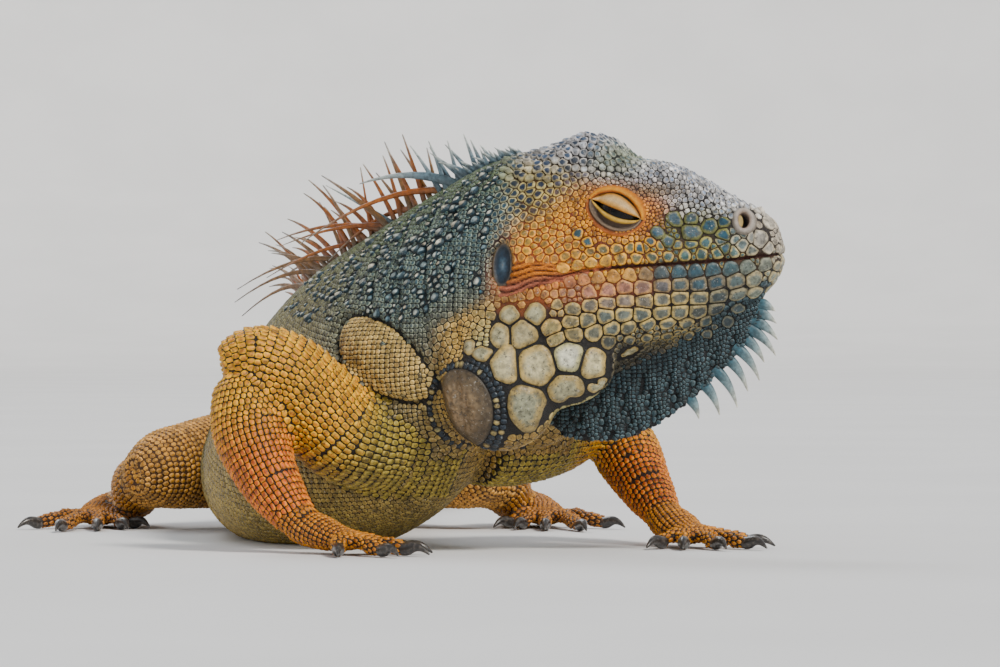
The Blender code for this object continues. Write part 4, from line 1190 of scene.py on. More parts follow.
def openings(along, aside, height, spare):
    """Where lids, nostrils, eardrums and the line between the lips leave scales no room."""
    p, q = lid_frame(along, height)
    lids = np.hypot(p / (11.0 + 0.4 * spare), q / (8.0 + 0.4 * spare)) < 1.02 + 0.03 * spare
    nose = np.hypot(along - NOSTRIL_CENTRE[0], height - NOSTRIL_CENTRE[2]) < 4.9 + 0.3 * spare
    rim = 1.2 + 0.4 * spare
    ear = np.hypot((along - EARDRUM_CENTRE[0]) / (EARDRUM_RADII[0] + rim),
                   (height - EARDRUM_CENTRE[2]) / (EARDRUM_RADII[1] + rim)) < 1
    lips = (np.abs(height - mouth_height(along)) < 0.9 + 0.3 * spare) & (along > 12)
    return (lids & (np.abs(aside) > LIDS)) | nose | (ear & (np.abs(aside) > CHEEKS)) | lips


def free_on_head(points):
    """Which points of the head and jowls are left to the free scales."""
    along, aside, height = to_head(points)
    fold = fold_share(along, aside, height) > 0.5
    jowl = (along > -32) & (height < 92) & (height > 34)
    fin = (np.abs(aside) < 4.4) & (height < throat_height(along) - 1.5) & (along > 6)
    return (((along > -6) | jowl) & (height > 36) & (np.abs(aside) < 46)
            & ~openings(along, aside, height, 0.0) & ~fold & ~fin)


def free_head_scales(coat, skin):
    """The small and middling scales between the named ones."""
    named = coat.table()
    places = scattered(skin, named["at"], named["radius"])
    at, normal, found = skin.settle(places, 3.0)
    at, normal = at[found], normal[found]
    along, _, height = to_head(at)
    size = grain(at)
    looks = joined_looks(at)
    crown = (height > 140) | ((along > 66) & (height > 126))
    flaky = crown & (RNG.random(len(at)) < 0.38)
    looks[flaky, 0] = 0.35 * looks[flaky, 0] + 0.65 * looks[flaky, 1]
    orbit = size < 1.5
    for chosen, style in ((orbit, "granule"), (crown & ~orbit, "rough"),
                          (~crown & ~orbit & (size < 2.3), "small pebble"),
                          (~crown & ~orbit & (size >= 2.3), "pebble")):
        coat.add(at[chosen], normal[chosen], -FORWARD, 0.54 * size[chosen], style,
                 "head_scales", head_unwrap(at[chosen]), looks[chosen])


# ---------------------------------------------------------------- body and limb scales
# station, spacing of the scales there
BODY_GRAIN = (("nape", 1.8), ("shoulder", 2.1), ("back", 2.9), ("hip", 3.1), ("tail root", 3.6),
              ("tail first bend", 3.8), ("tail second bend", 3.2), ("tail third bend", 2.6),
              ("tail fourth bend", 2.0), ("tail thread", 1.4), ("tail tip", 1.1))


def side_share(points, low, high):
    """How far up the body's side each point is, from the floor to the ridge."""
    low = np.maximum(low, 0.0)
    return np.clip((points[:, 2] - low) / (high - low), 0, 1)


def body_scales(coat, skin):
    """Rows of scales round the neck, trunk and tail."""
    stations = [place_of(name) for name, _ in BODY_GRAIN]
    rows = [stations[0] - 4.0]
    while rows[-1] < LENGTHS[-1] - 2.0:
        rows.append(rows[-1] + 0.87 * np.interp(rows[-1], stations, [s for _, s in BODY_GRAIN]))
    rows = np.array(rows)
    spacing = np.interp(rows, stations, [s for _, s in BODY_GRAIN])
    places, unwrap = hexagonal(body_rings(rows, 120), spacing)
    sizes, right = body_frames(rows)
    for k, (ring, share) in enumerate(zip(places, unwrap)):
        back = np.array([-right[k][1], right[k][0], 0.0])
        at, normal, found = skin.settle(ring, 5.0)
        at, normal, share = at[found], normal[found], share[found]
        if not len(at):
            continue
        along = (rows[k] - place_of("nape")) / GIRDLE
        if along < 0.35 and head_share(at).max() > 0:
            looks = joined_looks(at)
        else:
            up = side_share(at, sizes[k, 2], sizes[k, 3])
            looks = mixed(BODY_REGIONS, np.full(len(at), along), up)
        looks = banded(looks, rows[k])
        share = np.column_stack([np.full(len(at), rows[k]), share[:, 1] * 200.0])
        tail = rows[k] > place_of("vent")
        piece = "tail_scales" if tail else "trunk_scales" if along > 0.42 else "neck_scales"
        style = "keeled" if tail and rows[k] < place_of("tail second bend") else (
            "low keeled" if along > 0.42 else "small pebble")
        coat.add(at, normal, back, 0.54 * spacing[k], style, piece, share, looks)


def banded(looks, at):
    """Dark rings across the tail."""
    start, end = place_of("hip"), LENGTHS[-1]
    if at < start:
        return looks
    wave = sin(tau * TAIL_BANDS * ((at - start) / (end - start)) ** 0.85)
    share = 0.85 * ease(wave, -0.1, 0.5) * ease(at, start, start + 60)
    dark = np.array([TAIL_BAND, TAIL_BAND * 1.3, TAIL_BAND * 0.6])
    return looks * (1 - share) + dark * share


TUBERCLE_LOOKS = ((84, 116, 128), (38, 60, 70), (22, 36, 40))
PALE_TUBERCLE = (216, 212, 196)


def neck_tubercles(coat, skin):
    """Pointed tubercles with pale tips among the neck's small scales, many sizes together."""
    start, end = place_of("cheek") + 2, place_of("ribs")
    rows = np.arange(start, end, 2.8)
    places, _ = hexagonal(body_rings(rows, 120), 3.3)
    sizes, right = body_frames(rows)
    for k, ring in enumerate(places):
        back = np.array([-right[k][1], right[k][0], 0.0])
        ring = ring + RNG.normal(0, 0.9, ring.shape)
        at, normal, found = skin.settle(ring, 3.5)
        along, _, height = to_head(at)
        up = side_share(at, sizes[k, 2], sizes[k, 3])
        reach = 1.0 - (rows[k] - start) / (end - start)
        found &= (up > 0.42 + 0.40 * (1 - reach)) & (up < 0.93 + 0.04 * reach) & (along < -6.5)
        found &= RNG.random(len(at)) < 0.50 + 0.40 * reach
        at, normal, height, up = at[found], normal[found], height[found], up[found]
        large = RNG.random(len(at)) < 0.20
        radius = np.where(large, RNG.uniform(1.8, 2.5, len(at)), RNG.uniform(0.9, 1.6, len(at)))
        found = (panel_share(behind_nape(at), height) < 0.3) & (clear_of_arms(at) > 0.5)
        at, normal, height, up, radius = (values[found] for values in
                                          (at, normal, height, up, radius))
        pale = np.clip(RNG.random(len(at)) + 1.1 * (up - 0.62), 0.0, 1.0)
        looks = np.tile(colours(TUBERCLE_LOOKS), (len(at), 1, 1))
        looks[:, 0] = np.outer(pale, colour(*PALE_TUBERCLE)) + (1 - pale)[:, None] * looks[:, 0]
        coat.add(at, normal, 0.55 * back - 0.75 * UP, radius, "tubercle", "neck_tubercles",
                 np.column_stack([height, at[:, 0]]), looks)


LIMB_OF = {"upper_arm": "arm", "forearm": "arm", "hand": "arm", "thigh": "leg", "shin": "leg",
           "foot": "leg"}
LIMB_GRAIN = {"upper_arm": 2.8, "forearm": 2.6, "hand": 2.3, "thigh": 2.6, "shin": 2.4,
              "foot": 2.3}
DIGIT_GRAIN = 2.3


def limb_looks(part, at, share):
    """Colours on a limb: greener where the arm meets the chest, pale on the panel above."""
    looks = np.tile(colours(LIMB_REGIONS[part]), (len(at), 1, 1))
    if part == "upper_arm":
        green = colours(ARM_ROOT)
        looks += ease(-share, -0.52, -0.34) * (green - looks)
        looks += 0.55 * ease(-at[:, 2], -44, -22)[:, None, None] * (green - looks)
    if part == "forearm":
        golden = colours(LIMB_REGIONS["upper_arm"])
        looks = golden + ease(share, 0.10, 0.62) * (looks - golden)
    if part in ("thigh", "shin"):
        bars = 0.5 + 0.5 * np.sin(tau * share * 9 + 0.05 * at[:, 2])
        looks *= (0.80 + 0.35 * bars)[:, None, None]
    return looks


def limb_scales(coat, skin):
    """Oblique rows of keeled scales round the limbs, hands and feet."""
    for name, stations in LIMBS.items():
        side, part = name.split("_", 1)
        step = LIMB_GRAIN[part]
        dense = limb_rings(stations, 64, 24)
        centres = np.array([ring.mean(axis=0) for ring in dense])
        run = lengths_along(centres)
        rows = np.arange(0.5, run[-1], 0.94 * step)
        rings = [dense[k] for k in np.searchsorted(run, rows)]
        middles = np.column_stack([np.interp(rows, run, centres[:, axis]) for axis in range(3)])
        ways = np.gradient(middles, axis=0)
        places, unwrap = hexagonal(rings, 0.92 * step, 0.16, 0.0)
        piece = f"{side}_{LIMB_OF[part]}_scales"
        style = "keeled" if side == "right" and "arm" in part else "low keeled"
        for k, ring in enumerate(places):
            at, normal, found = skin.settle(ring, 4.6)
            share = unwrap[k][found]
            share = np.column_stack([share[:, 0] * step, share[:, 1] * 60.0])
            looks = limb_looks(part, at[found], rows[k] / run[-1])
            coat.add(at[found], normal[found], ways[k], 0.54 * step, style, piece, share, looks)
    for side, part, number, way, length, line in all_digits():
        rings = digit_rings(line, 16, max(6, int(length / 1.9)))
        places, unwrap = hexagonal(rings, DIGIT_GRAIN)
        heading = np.array([cos(way), sin(way), 0.0])
        for ring, share in zip(places, unwrap):
            at, normal, found = skin.settle(ring, 1.4)
            share = share[found] * [2.0, 12.0] + [0.0, 70.0 + 14.0 * number]
            looks = np.tile(colours(LIMB_REGIONS[part]), (int(found.sum()), 1, 1))
            coat.add(at[found], normal[found], heading, 0.5 * DIGIT_GRAIN, "low keeled",
                     f"{side}_{LIMB_OF[part]}_scales", share, looks)


def panel_share(back, height):
    """One on the pale panel of fine scales over the shoulder, zero away from it."""
    return 1 - ease(panel_reach(back, height), 0.88, 1.0)


PANEL_GRAIN = 1.75


def shoulder_panels(coat, skin):
    """Fine square scales in rows on the bulging panel over each shoulder."""
    stations = np.arange(place_of("nape"), place_of("back"), PANEL_GRAIN)
    places, _ = hexagonal(body_rings(stations, 160), PANEL_GRAIN)
    for k, ring in enumerate(places):
        ring = ring[(ring[:, 2] > 40) & (ring[:, 2] < 100)]
        at, normal, found = skin.settle(ring, 12.0)
        at, normal = at[found], normal[found]
        inside = (panel_share(behind_nape(at), at[:, 2]) > 0.5) & (clear_of_arms(at) > 0.5)
        at, normal = at[inside], normal[inside]
        coat.add(at, normal, -UP, 0.95, "small pebble", "neck_scales",
                 np.column_stack([np.full(len(at), stations[k]), at[:, 2]]),
                 np.tile(colours(SHOULDER_PANEL), (len(at), 1, 1)))


FILLER_RADIUS = 1.25
FILLER_STEP = 1.7


def fill_bare_skin(coat, skin):
    """More scales wherever the rows left the skin bare."""
    table = coat.table()
    places, radius = table["at"], table["radius"]
    tree = tree_of(places)
    middle = skin.points[skin.triangles].mean(axis=1)
    normal = skin.normals[skin.triangles[:, 0]]
    along, aside, height = to_head(middle)
    closed = openings(along, aside, height, 1.0) | (fold_share(along, aside, height) > 0.3)
    for k in np.nonzero(radius > LARGE_SCALE)[0]:
        closed |= np.linalg.norm(middle - places[k], axis=1) < 1.62 * radius[k]
    fresh = []
    for k in RNG.permutation(len(middle)):
        if closed[k]:
            continue
        _, index, far = tree.find(middle[k])
        if far < 1.0 + (1.25 if radius[index] > MIDDLE_SCALE else 1.05) * radius[index]:
            continue
        if any(np.abs(middle[k] - other).max() < FILLER_STEP for other in fresh):
            continue
        fresh.append(middle[k])
        style = "low keeled" if radius[index] > 1.3 else "granule"
        coat.add(middle[k][None], normal[k][None], table["lie"][index], FILLER_RADIUS, style,
                 table["piece"][index], table["unwrap"][index][None], table["looks"][index][None])


# the dewlap's own dark slate, made darker still as painted shade: colours of its scales, rims and
# skin
DEWLAP_LOOKS = ((52, 68, 74), (92, 108, 112), (20, 26, 30))
DEWLAP_COLUMNS = 68
DEWLAP_ROW = 1.6


def dewlap_scales(coat, skin):
    """Small scales in rows on both faces of the dewlap."""
    for column, share in enumerate(np.linspace(0.0, 1.0, DEWLAP_COLUMNS)):
        along, height = dewlap_edge([share])[0]
        root = throat_height(along) + 2.0
        for level in np.arange(height + 0.7, root, DEWLAP_ROW):
            shift = 0.5 * DEWLAP_ROW * (column % 2)
            for mirror in (1, -1):
                spot = head_point(along, mirror * 3.0, level + shift)
                at, normal, found = skin.settle([spot], 3.6)
                if found[0] and abs(to_head(at)[1][0]) < 4.5 and normal[0] @ (mirror * RIGHT) > 0:
                    coat.add(at, normal, -UP, 0.9, "granule", "dewlap_scales",
                             [[along, level + 80 * (mirror > 0)]], colours(DEWLAP_LOOKS)[None])


# ---------------------------------------------------------------- plates from seeds
NEIGHBOURS = 16
WIDE_SCALE = 3.6       # radii from here up look further round for neighbours
CELL_SHARPNESS = 26.0  # higher means sharper corners


def cell_reach(table, sides, chosen):
    """Distance from each chosen seed to its cell's border, in equal turns about it."""
    at, radius = table["at"], table["radius"]
    tree = tree_of(at)
    near = np.zeros((len(chosen), NEIGHBOURS), int)
    for row, k in enumerate(chosen):
        wide = radius[k] >= WIDE_SCALE
        found = [index for _, index, _ in tree.find_n(at[k], 60 if wide else 26)
                 if index != k and table["normal"][index] @ table["normal"][k] > 0.2]
        if wide:
            gaps = [np.linalg.norm(at[index] - at[k]) - radius[index] for index in found]
            found = [found[place] for place in np.argsort(gaps)]
        found += [found[0] if found else k] * NEIGHBOURS
        near[row] = found[:NEIGHBOURS]
    offset = at[near] - at[chosen][:, None]
    first = table["lie"][chosen]
    second = np.cross(table["normal"][chosen], first)
    x = np.einsum("nmc,nc->nm", offset, first)
    y = np.einsum("nmc,nc->nm", offset, second)
    flat = np.where(near == chosen[:, None], 1e3, np.maximum(np.hypot(x, y), 0.2))
    own = radius[chosen][:, None]
    share = 0.5 + (own ** 2 - radius[near] ** 2) / (2 * flat ** 2)
    gap = table["gap"][chosen][:, None]
    border = np.maximum(flat * np.clip(share, 0.15, 0.88) - gap / 2, 0.25 * own)
    angles = tau * np.arange(sides) / sides
    turn = np.arctan2(y, x)
    cosine = np.maximum(np.cos(angles[None, :, None] - turn[:, None, :]), 0)
    total = ((cosine / border[:, None, :]) ** CELL_SHARPNESS).sum(axis=-1)
    total += (1 / (np.where(own > LARGE_SCALE, 1.72, 1.42) * own)) ** CELL_SHARPNESS
    reach = total ** (-1 / CELL_SHARPNESS)
    oval = 1 / np.hypot(np.cos(angles) / SHIELD_RADII[0], np.sin(angles) / SHIELD_RADII[1])
    return np.where((table["style"][chosen] == "shield")[:, None], oval, reach)


CAST_START = 13.0      # no other part of the body lies this near over a plate
STEEPEST = 0.62        # fall of the skin under a plate's edge, as a share of its reach
LEAST_REACH = 2.0


def fall(skin, place, normal):
    """How far the skin lies from a place along a plate's normal, none past its edge."""
    hit = skin.tree.ray_cast(place + CAST_START * normal, -normal, 2 * CAST_START)
    return None if hit[0] is None else (np.array(hit[0]) - place) @ normal


def cast_down(skin, places, normal):
    """How far the skin lies from places in each scale's plane, along its normal."""
    drop = np.zeros(places.shape[:2])
    for k, row in enumerate(places):
        for s, place in enumerate(row):
            drop[k, s] = fall(skin, place, normal[k]) or 0.0
    return drop


def trimmed(skin, at, normal, first, second, reach, angles):
    """The reach of plates, shortened wherever they would hang over the skin's edge."""
    reach = reach.copy()
    for k in range(len(at)):
        for s, turn in enumerate(angles):
            way = cos(turn) * first[k] + sin(turn) * second[k]
            while reach[k, s] > LEAST_REACH:
                drop = fall(skin, at[k] + reach[k, s] * way, normal[k])
                if drop is not None and abs(drop) < STEEPEST * reach[k, s]:
                    break
                reach[k, s] *= 0.95
    for _ in range(3):
        beside = 0.5 * (np.roll(reach, 1, axis=1) + np.roll(reach, -1, axis=1))
        reach = np.minimum(reach, 0.5 * (reach + beside) + 0.05)
    return reach


def wrinkles(x, y):
    """Worn, wrinkled relief of the large shield of the jowl."""
    flat = np.column_stack([x.ravel(), y.ravel(), np.zeros(x.size)])
    coarse = [noise.noise(Vector(place * 0.16)) for place in flat]
    fine = [abs(noise.noise(Vector(place * (0.42, 0.70, 1.0) + (7.0, 3.0, 1.0)))) for place in flat]
    return (0.9 * np.array(coarse) - 1.5 * np.array(fine)).reshape(x.shape)


def plate_mesh(skin, table, chosen, style):
    """Points, triangles and per-point values of the plates of one style."""
    rise, sink, tilt, keel, overlap, _, sides, ring_set = STYLES[style]
    rings = RING_SETS[ring_set]
    count = len(chosen)
    radius = table["radius"][chosen]
    reach = cell_reach(table, sides, chosen)
    angles = tau * np.arange(sides) / sides
    first = table["lie"][chosen]
    normal = table["normal"][chosen]
    second = np.cross(normal, first)
    at = table["at"][chosen]
    if style in LAID_STYLES:
        reach = trimmed(skin, at, normal, first, second, reach, angles)
    x = reach * np.cos(angles)
    y = reach * np.sin(angles)
    border = at[:, None] + x[..., None] * first[:, None] + y[..., None] * second[:, None]
    sag = np.zeros((count, sides))
    for k in np.nonzero(radius > 1.2)[0]:
        for s in range(sides):
            hit = skin.tree.find_nearest(border[k, s], 8.0)
            if hit[0] is not None:
                sag[k, s] = (np.array(hit[0]) - border[k, s]) @ normal[k]
    height = rise * radius * table["grow"][chosen]
    rows = []
    edge = []
    for share, level in rings[:-1]:
        ahead = np.maximum(x, 0) * overlap * share
        px = share * x + ahead
        py = share * y
        z = sag * share ** 2
        if style in LAID_STYLES:
            z = cast_down(skin, at[:, None] + share * (border - at[:, None]), normal)
        if level is None:
            z = z - sink
        else:
            z = z + height[:, None] * level + tilt * px * 0.8
            ridge = np.clip(1 - np.abs(py) / (0.55 * radius[:, None]), 0, 1)
            z = z + keel * height[:, None] * ridge
            if style == "shield":
                z = z + wrinkles(px, py) * (1 - share ** 6)
        point = (at[:, None] + px[..., None] * first[:, None] + py[..., None] * second[:, None]
                 + z[..., None] * normal[:, None])
        rows.append(point)
        edge.append(np.full((count, sides), share))
    lean = first * (radius * (0.55 if ring_set == "cone" else 0.0))[:, None]
    top = at + normal * (height * (1 + keel))[:, None] + lean
    if ring_set == "cone":
        for k, (share, level) in enumerate(rings[1:-1]):
            rows[k + 1] = rows[k + 1] + lean[:, None] * level ** 1.5
    points = np.concatenate([np.stack(rows, axis=1).reshape(count, -1, 3), top[:, None]], axis=1)
    edges = np.concatenate([np.stack(edge, axis=1).reshape(count, -1), np.zeros((count, 1))],
                           axis=1)
    per = points.shape[1]
    faces = []
    for row in range(len(rows) - 1):
        for s in range(sides):
            a, b = row * sides + s, row * sides + (s + 1) % sides
            faces += [(a, b, b + sides), (a, b + sides, a + sides)]
    last = (len(rows) - 1) * sides
    faces += [(last + s, last + (s + 1) % sides, per - 1) for s in range(sides)]
    faces = np.array(faces)
    triangles = (np.arange(count)[:, None, None] * per + faces[None]).reshape(-1, 3)
    ring_turn = np.concatenate([np.tile(angles, len(rows)), [0.0]])
    ring_share = np.concatenate([np.repeat([r[0] for r in rings[:-1]], sides), [0.0]])
    patch = np.column_stack([ring_share * np.cos(ring_turn), ring_share * np.sin(ring_turn)])
    repeat = np.repeat(chosen, per)
    return {"points": points.reshape(-1, 3), "triangles": triangles, "edge": edges.ravel(),
            "seed": repeat, "patch": np.tile(patch, (count, 1))}


def to_world(points):
    """Metres in the frame of the solids, from millimetres in the plan."""
    return (np.asarray(points, float) + OFFSET) * MM


def new_object(name, points, triangles, material):
    """A mesh object from points in millimetres and triangles."""
    mesh = bpy.data.meshes.new(name)
    triangles = np.asarray(triangles, np.int32)
    world = to_world(points)
    world[:, 2] = np.maximum(world[:, 2], FLOOR_GAP)
    mesh.vertices.add(len(world))
    mesh.vertices.foreach_set("co", world.astype(np.float32).ravel())
    mesh.loops.add(triangles.size)
    mesh.loops.foreach_set("vertex_index", triangles.ravel())
    mesh.polygons.add(len(triangles))
    mesh.polygons.foreach_set("loop_start", np.arange(0, triangles.size, 3, dtype=np.int32))
    mesh.update(calc_edges=True)
    mesh.validate()
    mesh.materials.append(material)
    mesh.shade_smooth()
    piece = bpy.data.objects.new(name, mesh)
    bpy.context.scene.collection.objects.link(piece)
    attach(piece, "root")
    return piece


def set_colour(mesh, name, values):
    """A named colour for each point."""
    layer = mesh.attributes.new(name, "FLOAT_COLOR", "POINT")
    full = np.column_stack([values, np.ones(len(values))])
    layer.data.foreach_set("color", full.astype(np.float32).ravel())


def set_value(mesh, name, values):
    """A named number for each point."""
    layer = mesh.attributes.new(name, "FLOAT", "POINT")
    layer.data.foreach_set("value", np.asarray(values, np.float32))


def set_unwrap(mesh, coordinates):
    """The map OFBake, given per point."""
    layer = mesh.uv_layers.new(name="OFBake")
    corners = np.zeros(len(mesh.loops), np.int32)
    mesh.loops.foreach_get("vertex_index", corners)
    layer.data.foreach_set("uv", coordinates[corners].astype(np.float32).ravel())


PATCH = 0.0015         # half the width of a scale's own patch of the map
PIECE_LIMIT = 190000   # triangles


def build_coat(skin, table):
    """The scales as joined meshes, one or more for each region of the body."""
    for piece in sorted(set(table["piece"])):
        member = np.nonzero((table["piece"] == piece) & (table["style"] != "bare"))[0]
        groups = [plate_mesh(skin, table, member[table["style"][member] == style], style)
                  for style in sorted(set(table["style"][member]))]
        start = 0
        for group in groups:
            group["triangles"] = group["triangles"] + start
            start += len(group["points"])
        whole = {key: np.concatenate([group[key] for group in groups]) for key in groups[0]}
        unwrap = table["unwrap"][member]
        low, high = unwrap.min(axis=0), unwrap.max(axis=0)
        root = 0.01 + 0.98 * (table["unwrap"][whole["seed"]] - low) / np.maximum(high - low, 1e-6)
        map_at = root + PATCH * whole["patch"]
        parts = 1 + len(whole["triangles"]) // PIECE_LIMIT
        cuts = np.quantile(np.arange(len(member)), np.linspace(0, 1, parts + 1))
        rank = np.searchsorted(member, whole["seed"])
        for part in range(parts):
            inside = (rank >= cuts[part]) & ((rank < cuts[part + 1]) | (part == parts - 1))
            chosen = inside[whole["triangles"][:, 0]]
            index = np.cumsum(inside) - 1
            name = piece if parts == 1 else f"{piece}_{part + 1}"
            body = new_object(name, whole["points"][inside],
                              index[whole["triangles"][chosen]], scale_material(piece))
            seeds = whole["seed"][inside]
            set_colour(body.data, "tint", table["looks"][seeds, 0])
            set_colour(body.data, "rim", table["looks"][seeds, 1])
            set_value(body.data, "edge", whole["edge"][inside])
            set_unwrap(body.data, map_at[inside])


def vary(table):
    """Small differences between neighbouring scales, in colour and height."""
    count = len(table["at"])
    bright = RNG.normal(1.0, 0.13, count)
    drift = np.array([noise.noise(Vector(at * 0.09)) for at in table["at"]])
    fine = np.array([noise.noise(Vector(at * 0.31) + Vector((9, 3, 5))) for at in table["at"]])
    cool = np.array([0.90, 1.02, 1.16])
    shade = (bright + 0.25 * drift + 0.22 * fine).clip(0.5, 1.5)
    table["looks"][:, 0] *= shade[:, None]
    table["looks"][:, 1] *= (0.5 + 0.5 * shade)[:, None]
    table["looks"][:, 0] *= cool ** (0.9 * fine[:, None] + RNG.normal(0, 0.3, (count, 1)))
    table["looks"] = table["looks"].clip(0.0, 0.95)
    rough = table["style"] == "rough"
    table["looks"][:, 0] *= np.where(rough, RNG.uniform(0.5, 1.9, count), 1.0)[:, None]
    table["looks"][:, 1] *= np.where(rough, RNG.uniform(0.6, 1.25, count), 1.0)[:, None]
    table["looks"] = table["looks"].clip(0.0, 0.9)
    table["grow"] = np.where(rough, RNG.uniform(0.6, 1.6, count), RNG.uniform(0.85, 1.15, count))
    table["gap"] = np.array([STYLES[style][5] for style in table["style"]])


# ---------------------------------------------------------------- materials
class Nodes:
    """Short calls to build a node material."""

    def __init__(self, name, roughness, coat=0.0):
        self.material = bpy.data.materials.new(name)
        self.material.use_nodes = True
        self.tree = self.material.node_tree
        self.shader = self.tree.nodes["Principled BSDF"]
        self.shader.inputs["Roughness"].default_value = roughness
        self.shader.inputs["Coat Weight"].default_value = coat
        self.place = self.add("ShaderNodeTexCoord").outputs["Object"]

    def feed(self, socket, value):
        """Link a socket to another node, or set its own value."""
        if isinstance(value, bpy.types.NodeSocket):
            self.tree.links.new(value, socket)
        elif isinstance(value, tuple):
            socket.default_value = (*value, 1.0)
        else:
            socket.default_value = value

    def add(self, kind, **inputs):
        """A node of one kind, with its inputs by name."""
        node = self.tree.nodes.new(kind)
        for name, value in inputs.items():
            self.feed(node.inputs[name], value)
        return node

    def attribute(self, name, output):
        """A value stored on the mesh's points."""
        node = self.add("ShaderNodeAttribute")
        node.attribute_name = name
        return node.outputs[output]

    def noise(self, scale, detail=4.0, rough=0.55):
        """Soft noise, from 0 to 1."""
        node = self.add("ShaderNodeTexNoise", Vector=self.place, Scale=scale, Detail=detail,
                        Roughness=rough)
        return node.outputs["Fac"]

    def cells(self, scale):
        """Distance to the border of small irregular cells."""
        node = self.add("ShaderNodeTexVoronoi", Vector=self.place, Scale=scale)
        node.feature = "DISTANCE_TO_EDGE"
        return node.outputs["Distance"]

    def math(self, operation, first, second):
        """Two values joined by one operation."""
        node = self.add("ShaderNodeMath")
        node.operation = operation
        for socket, value in zip(node.inputs, (first, second)):
            self.feed(socket, value)
        return node.outputs[0]

    def spread(self, value, low, high, to_low=0.0, to_high=1.0):
        """A value drawn out smoothly from one range over another."""
        node = self.add("ShaderNodeMapRange", Value=value)
        node.interpolation_type = "SMOOTHSTEP"
        for name, number in (("From Min", low), ("From Max", high), ("To Min", to_low),
                             ("To Max", to_high)):
            node.inputs[name].default_value = number
        return node.outputs["Result"]

    def mix(self, share, first, second, way="MIX"):
        """One colour laid over another."""
        node = self.tree.nodes.new("ShaderNodeMix")
        node.data_type = "RGBA"
        node.blend_type = way
        for name, value in (("Factor", share), ("A", first), ("B", second)):
            self.feed([s for s in node.inputs if s.name == name and s.enabled][0], value)
        return [s for s in node.outputs if s.enabled][0]

    def grey(self, level):
        """A grey of one level."""
        return self.add("ShaderNodeCombineColor", Red=level, Green=level, Blue=level).outputs[0]

    def mottled(self, base, pattern, dark, light, high=0.7):
        """A colour made darker and lighter by a pattern."""
        shade = self.grey(self.spread(pattern, 0.3, high, dark, light))
        return self.mix(1.0, base, shade, "MULTIPLY")

    def bump(self, height, depth, strength=1.0):
        """Fine relief from a pattern."""
        node = self.add("ShaderNodeBump", Height=height, Distance=depth, Strength=strength)
        self.tree.links.new(node.outputs["Normal"], self.shader.inputs["Normal"])

    def finish(self, base):
        """The finished material, with its base colour."""
        self.tree.links.new(base, self.shader.inputs["Base Color"])
        return self.material


FLAKY_PIECES = ("head_scales", "neck_tubercles", "neck_scales")


def scale_material(piece):
    """Scales: a centre colour, a rim colour at the border, mottling, wear, painted shade at each
    scale's foot, and fine relief.
    """
    head = piece == "head_scales"
    nodes = Nodes(f"{piece}_keratin", 0.46 if head else 0.5)
    fine = nodes.noise(1500.0, 3.0)
    medium = nodes.noise(420.0, 4.0)
    ragged = nodes.math("ADD", nodes.attribute("edge", "Fac"),
                        nodes.math("MULTIPLY", nodes.math("SUBTRACT", medium, 0.5), 0.7))
    rim = nodes.spread(ragged, 0.50, 0.82)
    base = nodes.mix(rim, nodes.attribute("tint", "Color"), nodes.attribute("rim", "Color"))
    base = nodes.mottled(base, medium, 0.50, 1.28)
    fleck = nodes.spread(nodes.noise(800.0, 2.0, 0.7), 0.58, 0.66, 0.0, 0.70)
    base = nodes.mix(fleck, base, (0.035, 0.032, 0.028))
    if piece in FLAKY_PIECES:
        flake = nodes.spread(nodes.noise(900.0, 3.0, 0.8), 0.60, 0.68, 0.0, 0.45)
        base = nodes.mix(flake, base, (0.60, 0.58, 0.52))
    # painted shade: each scale's foot, where it sinks into the skin, is darkened almost to black
    groove = nodes.spread(nodes.attribute("edge", "Fac"), 0.93, 1.0, 0.0, 0.75)
    base = nodes.mix(groove, base, (0.02, 0.018, 0.015))
    nodes.bump(nodes.math("ADD", medium, nodes.math("MULTIPLY", fine, 0.5)), 0.00035, 0.7)
    return nodes.finish(base)


def skin_material():
    """Skin between the scales: its own markings, creases darkened as painted shade, and a fine
    grain.
    """
    nodes = Nodes("bare_skin", 0.6)
    creases = nodes.cells(1300.0)
    soft = nodes.noise(300.0, 4.0)
    base = nodes.mottled(nodes.attribute("tint", "Color"), soft, 0.7, 1.2)
    # painted shade: the crease lines between the fine cells are darkened
    lines = nodes.spread(creases, 0.0, 0.12, 0.55, 0.0)
    base = nodes.mix(lines, base, (0.03, 0.02, 0.015))
    height = nodes.math("ADD", nodes.spread(creases, 0.0, 0.25), nodes.math("MULTIPLY", soft, 0.6))
    nodes.bump(height, 0.0003, 0.8)
    return nodes.finish(base)


def spine_material():
    """Horny spines: streaks along them over a colour that changes towards the tip."""
    nodes = Nodes("spine_horn", 0.42)
    streak = nodes.noise(500.0, 5.0, 0.65)
    base = nodes.mottled(nodes.attribute("tint", "Color"), streak, 0.55, 1.35, 0.72)
    nodes.bump(streak, 0.0003, 0.8)
    return nodes.finish(base)


def lid_material():
    """Thin lid skin with rows of tiny beads, the seams between them darkened as painted shade."""
    nodes = Nodes("lid_skin", 0.42)
    beads = nodes.cells(2100.0)
    soft = nodes.noise(500.0, 3.0)
    base = nodes.mottled(nodes.attribute("tint", "Color"), soft, 0.82, 1.12)
    # painted shade: the seams between the beads are darkened
    seam_shade = nodes.spread(beads, 0.0, 0.1, 0.35, 0.0)
    base = nodes.mix(seam_shade, base, (0.12, 0.06, 0.03))
    nodes.bump(nodes.spread(beads, 0.0, 0.3), 0.00022, 0.8)
    return nodes.finish(base)


def eye_material():
    """Wet eyeball with a dark iris."""
    nodes = Nodes("wet_eye", 0.14, 0.12)
    nodes.shader.inputs["Coat Roughness"].default_value = 0.03
    nodes.shader.inputs["Specular IOR Level"].default_value = 0.16
    streak = nodes.noise(1200.0, 5.0, 0.7)
    return nodes.finish(nodes.mottled(nodes.attribute("tint", "Color"), streak, 0.5, 1.5))


